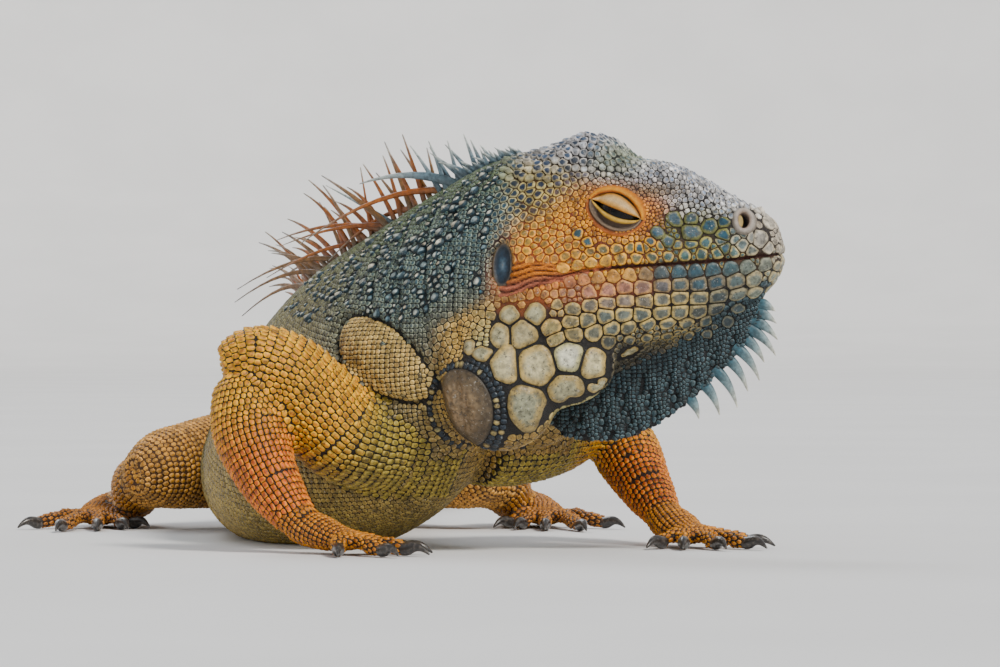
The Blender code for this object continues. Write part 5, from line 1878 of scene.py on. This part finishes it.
def claw_material():
    """Dark horn with paler ridges along the claw."""
    nodes = Nodes("claw_horn", 0.32, 0.2)
    streak = nodes.noise(700.0, 4.0, 0.6)
    base = nodes.mix(nodes.spread(streak, 0.45, 0.75), (0.028, 0.024, 0.022), (0.13, 0.11, 0.09))
    nodes.bump(streak, 0.0002, 0.6)
    return nodes.finish(base)


def floor_material():
    """Plain pale floor."""
    nodes = Nodes("pale_floor", 0.85)
    return nodes.finish(nodes.grey(nodes.spread(nodes.noise(3.0, 3.0), 0.3, 0.7, 0.76, 0.80)))


# ---------------------------------------------------------------- eyes, nose and ears
def grid_faces(rows, columns, closed):
    """Triangles between neighbouring rows of points, closed round if asked."""
    faces = []
    for row in range(rows - 1):
        for k in range(columns if closed else columns - 1):
            a, b = row * columns + k, row * columns + (k + 1) % columns
            faces += [(a, b, b + columns), (a, b + columns, a + columns)]
    return faces


def tinted(name, rows, tints, material, closed=False, flip=False):
    """An object from rows of points, with a colour for each row."""
    rows = np.array(rows, float)
    points = rows.reshape(-1, 3)
    faces = np.array(grid_faces(rows.shape[0], rows.shape[1], closed))
    if flip:
        faces = faces[:, ::-1]
    body = new_object(name, points, faces, material)
    set_colour(body.data, "tint", np.repeat(np.array(tints), rows.shape[1], axis=0))
    return body


# degrees from the gaze, and the eyeball's colour there
EYE_BANDS = ((0, (3, 3, 3)), (15, (4, 4, 4)), (17, (40, 30, 24)), (20, (24, 18, 14)),
             (34, (15, 12, 10)), (40, (34, 30, 18)), (180, (40, 34, 22)))


def eyeball(side, mirror, material):
    """A sphere whose pole looks outward, with pupil and iris rings."""
    centre = head_point(EYE_CENTRE[0], mirror * EYE_CENTRE[1], EYE_CENTRE[2])
    gaze = unit(mirror * RIGHT + 0.16 * FORWARD - 0.06 * UP)
    first = unit(np.cross(gaze, UP))
    second = np.cross(first, gaze)
    around = tau * np.arange(48) / 48
    circle = np.outer(np.cos(around), first) + np.outer(np.sin(around), second)
    turns = np.concatenate([np.linspace(0.5, 44, 30), np.linspace(48, 179.5, 20)])
    rows = []
    for turn in turns:
        bulge = EYE_RADIUS - 0.35 + 0.55 * np.exp(-(turn / 30.0) ** 2)
        rows.append(centre + bulge * (cos(radians(turn)) * gaze + sin(radians(turn)) * circle))
    ball = tinted(f"{side}_eyeball", rows, ramp(turns, EYE_BANDS), material, closed=True)
    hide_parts(f"{side}_eye")


def arch(p, height, skew, power):
    """Height of a curved edge of the lids at p, from corner to corner."""
    share = np.clip(np.abs(p / LID_HALF), 0, 1)
    lean = 1 + skew * p / LID_HALF
    return height * lean * (1 - share ** 2) ** power


# rows of a lid from its outer edge to the eyeball: height of the arch, skew, roundness,
# lift, what it lies on, stretch towards the corners, colour; the darker rows, where a lid dips
# into its crease, where it tucks under the face's skin and where it meets the eyeball, are
# painted shade, and the cream, yellow and orange rows are the lids' own colour
UPPER_ROWS = (
    (9.6, -0.05, 0.5, -1.2, "skin", 1.24, (150, 88, 38)),
    (8.8, -0.05, 0.5, -0.2, "skin", 1.17, (176, 104, 42)),
    (7.9, -0.08, 0.55, 1.1, "skin", 1.10, (228, 154, 62)),
    (7.0, -0.10, 0.6, 1.6, "skin", 1.06, (240, 176, 84)),
    (6.1, -0.12, 0.7, 1.1, "skin", 1.03, (210, 128, 50)),
    (5.5, -0.15, 0.8, -0.2, "skin", 1.0, (84, 44, 20)),
    (5.1, -0.15, 0.9, 0.75, "eye", 1.0, (206, 150, 88)),
    (4.3, -0.12, 1.0, 1.25, "eye", 1.0, (240, 202, 150)),
    (2.9, -0.10, 1.0, 1.55, "eye", 1.0, (244, 212, 168)),
    (1.6, -0.05, 1.0, 1.60, "eye", 1.0, (236, 188, 124)),
    (0.5, 0.0, 1.0, 1.50, "eye", 1.0, (212, 148, 82)),
    (0.1, 0.0, 1.0, 0.9, "eye", 1.0, (84, 50, 30)),
    (0.4, 0.0, 1.0, -0.3, "eye", 1.0, (40, 24, 16)),
)
LOWER_ROWS = (
    (-10.6, 0.10, 0.5, -1.2, "skin", 1.24, (160, 92, 40)),
    (-9.5, 0.10, 0.5, 0.2, "skin", 1.17, (200, 124, 50)),
    (-8.6, 0.10, 0.5, 0.6, "skin", 1.10, (168, 98, 42)),
    (-7.8, 0.12, 0.5, -0.4, "skin", 1.06, (82, 50, 30)),
    (-7.0, 0.12, 0.5, 0.6, "skin", 1.03, (160, 142, 124)),
    (-6.3, 0.15, 0.55, 0.55, "eye", 1.0, (104, 90, 78)),
    (-5.4, 0.18, 0.6, 0.75, "eye", 1.0, (88, 76, 68)),
    (-4.6, 0.2, 0.65, 0.9, "eye", 1.0, (84, 66, 50)),
    (-4.0, 0.22, 0.7, 1.35, "eye", 1.0, (228, 184, 106)),
    (-3.0, 0.22, 0.75, 1.3, "eye", 1.0, (234, 196, 122)),
    (-2.5, 0.22, 0.8, 0.6, "eye", 1.0, (104, 82, 44)),
    (-2.5, 0.22, 0.8, -0.4, "eye", 1.0, (50, 38, 28)),
)


def eyelid(skin, side, mirror, name, rows, material):
    """One lid: a strip from under the face's skin, over its folds, to the eyeball."""
    lines = []
    for height, skew, power, lift, rests_on, stretch, _ in rows:
        line = []
        for p in LID_HALF * np.sin(np.linspace(-pi / 2, pi / 2, 56)):
            q = arch(p, height, skew, power)
            along, level = from_lid_frame(p * stretch, q)
            far = np.hypot(along - EYE_CENTRE[0], level - EYE_CENTRE[2])
            ball = EYE_CENTRE[1] + np.sqrt(max(EYE_RADIUS ** 2 - far ** 2, 0.0))
            skin_at = skin.face_aside(along, level, mirror)
            corner = (p / LID_HALF) ** 6
            if rests_on == "eye":
                aside = max(ball, skin_at - 2.2) + lift * (1 - 0.7 * corner)
                aside = aside * (1 - corner) + (skin_at + 0.1 + 0.3 * lift) * corner
            else:
                aside = skin_at + lift * (1 - 0.4 * corner)
            line.append(head_point(along, mirror * aside, level))
        lines.append(line)
    lid = tinted(f"{side}_{name}_eyelid", lines, colours([row[-1] for row in rows]), material,
                 flip=(mirror > 0) == (name == "upper"))


def build_eyes(skin):
    """Eyeballs and lids of both sides."""
    ball_material, fold_material = eye_material(), lid_material()
    for side, mirror in SIDES:
        eyeball(side, mirror, ball_material)
        for name, rows in (("upper", UPPER_ROWS), ("lower", LOWER_ROWS)):
            eyelid(skin, side, mirror, name, rows, fold_material)


# a nostril from outside inwards: radius, lift from the skin, colour; the ring's pale colour is
# its own, and the colour darkens with depth as painted shade, down to black in the hole
NOSTRIL_PROFILE = ((5.6, -1.4, (120, 110, 100)), (4.9, 0.1, (164, 156, 146)),
                   (4.4, 1.0, (186, 178, 168)), (3.7, 1.5, (202, 194, 184)),
                   (3.0, 1.5, (196, 184, 174)), (2.4, 1.0, (176, 160, 148)),
                   (2.0, 0.1, (112, 98, 90)), (1.7, -1.6, (34, 26, 24)), (0.2, -3.0, (8, 6, 6)))
NOSTRIL_FLAP = (214, 190, 140)


def build_nostrils(skin, material):
    """A smooth raised ring round each nostril, with a hollow painted dark as shade and a flap
    inside.
    """
    turns = tau * np.arange(40) / 40
    for side, mirror in SIDES:
        centre = head_point(NOSTRIL_CENTRE[0], 0.0, NOSTRIL_CENTRE[2])
        hit = skin.plain_tree.ray_cast(centre + OUTSIDE * mirror * RIGHT, -mirror * RIGHT)
        middle, normal = np.array(hit[0]), np.array(hit[1])
        normal = unit(0.7 * normal * np.sign(normal @ (mirror * RIGHT)) + 0.3 * mirror * RIGHT)
        first = unit(np.cross(UP, normal))
        second = np.cross(normal, first)
        lines = []
        for radius, lift, _ in NOSTRIL_PROFILE:
            wide = radius * (0.92 + 0.08 * np.cos(turns))
            tall = radius * (1.72 - 0.125 * radius)
            lines.append(middle + np.outer(wide * np.cos(turns), first)
                         + np.outer(tall * np.sin(turns), second) + lift * normal)
        # painted shade down the ring's sides and in the hole, from the profile's colours
        ring = tinted(f"{side}_nostril", lines, colours([row[2] for row in NOSTRIL_PROFILE]),
                      material, closed=True)
        flap = []
        for share in np.linspace(-1, 1, 9):
            row = []
            for out in np.linspace(0, 1, 6):
                x = -1.9 + 1.9 * out * cos(share * 1.1)
                y = 2.9 * sin(share * 1.25)
                row.append(middle + mirror * x * first + y * second
                           + (0.9 - 1.3 * out) * normal)
            flap.append(row)
        inner = tinted(f"{side}_nostril_flap", flap, colours([NOSTRIL_FLAP] * len(flap)), material)


# an eardrum from outside inwards: share of its radii, lift from the skin, colour; the dark
# rings round the hollow's edge are painted shade, and the membrane's pale blue middle is a
# painted highlight on its bluish grey
EARDRUM_PROFILE = ((1.5, -3.6, (60, 56, 52)), (1.2, -2.4, (120, 104, 84)),
                   (1.05, -2.3, (84, 80, 76)), (0.95, -2.8, (34, 42, 50)),
                   (0.6, -3.2, (40, 54, 68)), (0.3, -3.3, (66, 84, 98)),
                   (0.03, -3.0, (110, 122, 130)))


def build_eardrums(skin, material):
    """Smooth, slightly hollow eardrums, sunk behind the cheeks."""
    for side, mirror in SIDES:
        lines = []
        for share, lift, _ in EARDRUM_PROFILE:
            line = []
            for turn in tau * np.arange(40) / 40:
                along = EARDRUM_CENTRE[0] + share * EARDRUM_RADII[0] * cos(turn)
                height = EARDRUM_CENTRE[2] + share * EARDRUM_RADII[1] * sin(turn)
                aside = skin.face_aside(along, height, mirror) + lift
                line.append(head_point(along, mirror * aside, height))
            lines.append(line)
        # painted shade round the membrane's rim and a painted highlight in its middle
        drum = tinted(f"{side}_ear_drum", lines, colours([row[2] for row in EARDRUM_PROFILE]),
                      material, closed=True, flip=mirror > 0)
        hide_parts(f"{side}_eardrum")


# ---------------------------------------------------------------- spines and claws
SPINE_ROOT = 3.0       # length inside the skin
SPINE_SIDES = 8


def spine_rows(base, way, bend, across, length, width, thickness):
    """Rings of a flat tapering spine that bends towards its tip."""
    edge = unit(np.cross(across, way))
    turns = tau * np.arange(SPINE_SIDES) / SPINE_SIDES
    rows = []
    shares = np.concatenate([[-SPINE_ROOT / length], np.linspace(0, 1, 9)])
    for share in shares:
        lift = max(share, 0.0)
        centre = base + length * (share * way + lift * lift * bend)
        taper = 1.0 if share < 0 else 1.0 - 0.86 * share ** 1.3
        rows.append(centre + np.outer(0.5 * width * taper * np.cos(turns), edge)
                    + np.outer(max(0.5 * thickness * taper, 0.3) * np.sin(turns), across))
    rows.append(np.repeat(rows[-1].mean(axis=0)[None], SPINE_SIDES, axis=0)
                + 0.6 * unit(way + 2 * bend))
    return rows, np.concatenate([np.maximum(shares, 0), [1.0]])


class Bundle:
    """Many small tubes gathered in one mesh."""

    def __init__(self):
        self.points, self.faces, self.tints, self.unwrap = [], [], [], []
        self.start = 0

    def add(self, rows, tints, root):
        """One tube, with a colour for each row and a place on the map."""
        rows = np.array(rows)
        faces = np.array(grid_faces(rows.shape[0], rows.shape[1], True)) + self.start
        self.points.append(rows.reshape(-1, 3))
        self.faces.append(faces)
        self.tints.append(np.repeat(np.array(tints), rows.shape[1], axis=0))
        turn = tau * np.tile(np.arange(rows.shape[1]), rows.shape[0]) / rows.shape[1]
        out = np.repeat(np.linspace(1, 0.1, rows.shape[0]), rows.shape[1])
        patch = np.column_stack([out * np.cos(turn), out * np.sin(turn)]) * PATCH
        self.unwrap.append(np.array(root) + patch)
        self.start += rows.shape[0] * rows.shape[1]

    def build(self, name, material):
        """The object of all tubes."""
        body = new_object(name, np.concatenate(self.points), np.concatenate(self.faces), material)
        set_colour(body.data, "tint", np.concatenate(self.tints))
        set_unwrap(body.data, np.concatenate(self.unwrap))


CREST_STEP = 4.1
ORANGE_SPINE = ((0.0, (92, 74, 52)), (0.2, (146, 88, 50)), (0.6, (164, 106, 68)),
                (0.85, (156, 132, 114)), (1.0, (184, 180, 170)))
BROWN_SPINE = ((0.0, (92, 76, 54)), (0.3, (132, 96, 62)), (0.7, (150, 122, 96)),
               (1.0, (172, 172, 170)))
BLUE_SPINE = ((0.0, (70, 84, 88)), (0.4, (112, 130, 140)), (1.0, (206, 210, 204)))
DARK_SPINE = ((0.0, (78, 62, 42)), (0.5, (112, 84, 58)), (1.0, (146, 136, 120)))
# single long spines: place behind the nape, length, lean back in degrees, sag, lean to the
# right, width, colours
LONG_SPINES = (
    (25.0, 60.0, 84, 0.46, 0.10, 3.0, ORANGE_SPINE),
    (20.0, 44.0, 70, 0.34, 0.02, 4.2, BLUE_SPINE),
    (58.0, 53.0, 77, 0.30, 0.12, 2.6, ORANGE_SPINE),
    (54.0, 50.0, 84, 0.26, 0.22, 2.2, ORANGE_SPINE),
    (52.0, 40.0, 66, 0.02, 0.05, 2.0, BLUE_SPINE),
    (14.0, 15.0, 55, 0.20, 0.10, 3.2, BLUE_SPINE),
    (70.0, 46.0, 88, 0.34, 0.25, 2.2, ORANGE_SPINE),
    (66.0, 30.0, 12, 0.05, 0.0, 2.2, ORANGE_SPINE),
    (88.0, 48.0, 80, 0.42, 0.30, 2.4, BROWN_SPINE),
    (40.0, 48.0, 86, 0.50, -0.2, 2.6, ORANGE_SPINE),
    (104.0, 46.0, 78, 0.46, 0.34, 2.4, BROWN_SPINE),
    (124.0, 44.0, 76, 0.50, 0.30, 2.4, BROWN_SPINE),
)


def crest_spine(bundle, at, length, lean, droop, lateral, width, stops, unwrap):
    """One soft spine standing on the ridge of the back."""
    sizes, right = body_frames(np.array([at]))
    x, y, _, high = sizes[0][:4]
    side = np.array([*right[0], 0.0])
    back = np.array([right[0][1], -right[0][0], 0.0])
    way = unit(cos(lean) * UP + sin(lean) * back + lateral * side)
    bend = droop * (0.35 * side - 0.95 * UP)
    base = np.array([x, y, high - 1.4]) + side * RNG.normal(0, 0.7)
    across = unit(side - way * (side @ way))
    rows, shares = spine_rows(base, way, bend, across, length, width, 0.45 * width)
    bundle.add(rows, ramp(shares, stops), unwrap)


def build_crest(material):
    """The row of spines from the nape to the tail, some of them long and sagging."""
    places = [place_of(row[0]) for row in CREST_SIZES]
    bundle = Bundle()
    first = at = place_of("nape") + 1.0
    last = place_of("tail first bend")
    while at < last:
        length, lean, droop = blend(places, [row[1:] for row in CREST_SIZES], [at])[0]
        length *= RNG.uniform(0.62, 1.05)
        lean = radians(lean + RNG.uniform(-22, 22))
        share = length / 56.0
        along = (at - first) / (last - first)
        stops = BLUE_SPINE if along < 0.055 else DARK_SPINE if along > 0.55 else (
            ORANGE_SPINE if RNG.random() < 0.5 else BROWN_SPINE)
        crest_spine(bundle, at, length, lean, droop * RNG.uniform(0.3, 1.3), RNG.normal(0.05, 0.12),
                    2.0 + 1.7 * share, stops, (0.02 + 0.96 * along, 0.5 + 0.2 * (share - 0.5)))
        at += CREST_STEP * (0.5 + 0.5 * share) * (1.25 if at > place_of("vent") else 1.0)
    for behind, length, lean, droop, lateral, width, stops in LONG_SPINES:
        crest_spine(bundle, place_of("nape") + behind, length, radians(lean), droop, lateral,
                    width, stops, (0.02 + 0.9 * behind / (last - first), 0.62))
    for row in (-1, 0, 1):
        for behind in np.arange(-8.0, 16.0, 2.6):
            crest_spine(bundle, place_of("nape") + behind + RNG.uniform(-0.6, 0.6),
                        RNG.uniform(4.5, 8.5), radians(RNG.uniform(25, 60)), 0.1,
                        0.45 * row + RNG.normal(0, 0.1), 2.2, BLUE_SPINE, (0.02, 0.4 + 0.05 * row))
    bundle.build("crest_spines", material)


DEWLAP_SPINES = (4.5, 6.0, 9.0, 11.5, 9.5, 12.5, 12.0, 13.5, 11.0, 7.0)
DEWLAP_SPINE = ((0.0, (70, 98, 108)), (0.5, (140, 156, 158)), (1.0, (226, 224, 210)))


def build_dewlap_spines(material):
    """The comb of soft spines on the dewlap's front edge."""
    bundle = Bundle()
    for k, length in enumerate(DEWLAP_SPINES):
        at = 0.04 + 0.48 * k / (len(DEWLAP_SPINES) - 1)
        along, height = dewlap_edge([at])[0]
        ahead, above = dewlap_edge([at - 0.02])[0]
        after, below = dewlap_edge([at + 0.02])[0]
        edge_way = unit(np.array([after - ahead, below - above]))
        out = np.array([-edge_way[1], edge_way[0]])
        way = out[0] * FORWARD + out[1] * UP
        bend = 0.30 * (edge_way[0] * FORWARD + edge_way[1] * UP)
        base = head_point(along, 0.0, height)
        rows, shares = spine_rows(base, way, bend, RIGHT, length, 4.4, 2.4)
        bundle.add(rows, ramp(shares, DEWLAP_SPINE), (0.1 + 0.08 * k, 0.5))
    bundle.build("dewlap_spines", material)


def build_claws(material):
    """Hooked claws, one for each claw of the solids."""
    for side, part, k, way, _, line in all_digits():
        flat = np.array([cos(way), sin(way), 0.0])
        start = line[-1]
        centres = []
        radii = []
        for share in np.linspace(-0.15, 1.0, 12):
            reach = max(share, 0.0)
            drop = (start[2] - 1.0) * reach ** 2.2
            rise = 1.3 * sin(pi * reach)
            centres.append(start + CLAW_LENGTH * share * flat + (rise - drop) * UP)
            radii.append(DIGIT_RADIUS[1] * 0.86 * (1 - reach ** 1.3) + CLAW_TIP * reach)
        rings = round_tube(centres, radii, CLAW_SIDES)
        rings.append(np.repeat(rings[-1].mean(axis=0)[None], CLAW_SIDES, axis=0) + 0.3 * flat)
        claw = tinted(f"{side}_{part}_talon_{k + 1}", rings, colours([CLAW_TINT] * len(rings)),
                      material, closed=True)
        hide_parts(f"{side}_{part}_claw_{k + 1}")


# ---------------------------------------------------------------- stage, light and camera
# radii and heights of the floor's rings, in metres
FLOOR_PROFILE = ((0.02, 0.0), (3.0, 0.0), (11.0, 0.0), (12.4, 0.12), (13.6, 0.6), (14.5, 1.6),
                 (15.0, 3.4), (15.1, 9.0))


def build_stage():
    """A wide pale floor that curves up far away, all round."""
    turns = tau * np.arange(72) / 72
    rows = np.array([np.column_stack([radius * np.cos(turns), radius * np.sin(turns),
                                      np.full(len(turns), height)])
                     for radius, height in FLOOR_PROFILE])
    mesh = bpy.data.meshes.new("studio_floor")
    faces = [tuple(face) for face in grid_faces(rows.shape[0], rows.shape[1], True)]
    mesh.from_pydata(rows.reshape(-1, 3).tolist(), [], faces)
    mesh.materials.append(floor_material())
    mesh.shade_smooth()
    floor = bpy.data.objects.new("studio_floor", mesh)
    bpy.context.scene.collection.objects.link(floor)


def sun_light(name, travel, spread, strength, tone):
    """Even light from one direction, softened by its width in degrees."""
    light = bpy.data.lights.new(name, "SUN")
    light.angle = radians(spread)
    light.energy = strength
    light.color = tone
    lamp = bpy.data.objects.new(name, light)
    bpy.context.scene.collection.objects.link(lamp)
    lamp.rotation_euler = Vector(travel).to_track_quat("-Z", "Y").to_euler()


def build_lights():
    """Soft studio light: a warm key, a cool rim light, and an even bluish sky all round."""
    sun_light("key", (-0.55, 0.75, -0.95), 14, 3.1, (1.0, 0.96, 0.90))
    sun_light("rim", (0.35, -0.8, -0.75), 25, 0.9, (0.92, 0.96, 1.0))
    world = bpy.data.worlds.new("studio")
    bpy.context.scene.world = world
    world.use_nodes = True
    background = world.node_tree.nodes["Background"]
    background.inputs["Color"].default_value = (0.88, 0.93, 1.0, 1.0)
    background.inputs["Strength"].default_value = 0.50


CAMERA_DISTANCE = 2000.0
CAMERA_HEIGHT = 83.5
VIEW_WIDTH = 384.6     # of what the frame shows level with the head
SENSOR_WIDTH = 36.0


def build_camera():
    """Level view across the head from its right side."""
    camera = bpy.data.cameras.new("camera")
    camera.sensor_width = SENSOR_WIDTH
    camera.lens = SENSOR_WIDTH * CAMERA_DISTANCE / VIEW_WIDTH
    camera.clip_start = 0.05
    holder = bpy.data.objects.new("camera", camera)
    bpy.context.scene.collection.objects.link(holder)
    holder.location = to_world((0.0, -CAMERA_DISTANCE, CAMERA_HEIGHT))
    holder.rotation_euler = (radians(90), 0.0, 0.0)
    bpy.context.scene.camera = holder


# ---------------------------------------------------------------- the whole animal
FLESH = ("head", "lower_jaw", "dewlap", "neck", "chest", "abdomen", "pelvis", "tail_base",
         "tail_front", "tail_middle", "tail_rear", "tail_whip", *LIMBS)
# painted shade in the slit between the lips
LIP_SLIT_SHADE = (74, 40, 32)
# the first colour is painted shade in the creases between the folds; the other two are the folds'
# own colours
FOLD_LOOKS = ((84, 38, 22), (206, 134, 112), (236, 152, 62))     # between, lower and upper folds


def build_skin(skin, table):
    """The skin's object, with the markings of the scales over it, painted shade along the slit
    between the lips and painted shade in the creases between the folds.
    """
    body = new_object("skin", skin.points, skin.triangles, skin_material())
    tree = tree_of(table["at"])
    owner = np.array([tree.find(point)[1] for point in skin.points])
    tint = table["looks"][owner, 2]
    edges = mesh_edges(body.data)
    for _ in range(4):
        tint = 0.5 * tint + 0.5 * averaged(tint, edges)
    along, aside, height = to_head(skin.points)
    above = height - mouth_height(along)
    # painted shade along the slit between the lips
    lip = (np.exp(-(above / 0.9) ** 2) * ease(along, 20, 34))[:, None]
    tint = tint * (1 - lip) + colour(*LIP_SLIT_SHADE) * lip
    fold = fold_share(along, aside, height)[:, None]
    wave, level = fold_wave(along, height)
    ridge = ease(wave, -0.25, 0.45)[:, None]
    # painted shade: the creases between the folds are darkened
    painted_fold_shade, pink, orange = colours(FOLD_LOOKS)
    crest = pink + ease(level, 0.25, 0.55)[:, None] * (orange - pink)
    folded = painted_fold_shade * (1 - ridge) + crest * ridge
    tint = tint * (1 - fold) + folded * fold
    set_colour(body.data, "tint", tint)
    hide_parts(*FLESH)


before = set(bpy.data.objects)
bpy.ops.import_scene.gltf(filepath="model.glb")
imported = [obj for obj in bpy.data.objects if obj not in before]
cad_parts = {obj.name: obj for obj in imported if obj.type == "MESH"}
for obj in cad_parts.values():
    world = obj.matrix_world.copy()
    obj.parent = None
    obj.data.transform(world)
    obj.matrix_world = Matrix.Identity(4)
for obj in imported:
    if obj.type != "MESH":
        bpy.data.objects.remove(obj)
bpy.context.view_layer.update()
eye_low, eye_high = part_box("right_eye")
OFFSET = np.array((eye_low + eye_high) / 2) / MM - head_point(*EYE_CENTRE)
OFFSET[2] = 0.0

skin = Skin()
coat = Coat()
named_head_scales(coat, skin)
shoulder_panels(coat, skin)
neck_tubercles(coat, skin)
free_head_scales(coat, skin)
dewlap_scales(coat, skin)
limb_scales(coat, skin)
body_scales(coat, skin)
fill_bare_skin(coat, skin)
scales = coat.finish()
vary(scales)
build_skin(skin, scales)
build_coat(skin, scales)
build_eyes(skin)
horn = spine_material()
soft_horn = lid_material()
build_nostrils(skin, soft_horn)
build_eardrums(skin, horn)
build_crest(horn)
build_dewlap_spines(horn)
build_claws(claw_material())
build_stage()
build_lights()
build_camera()
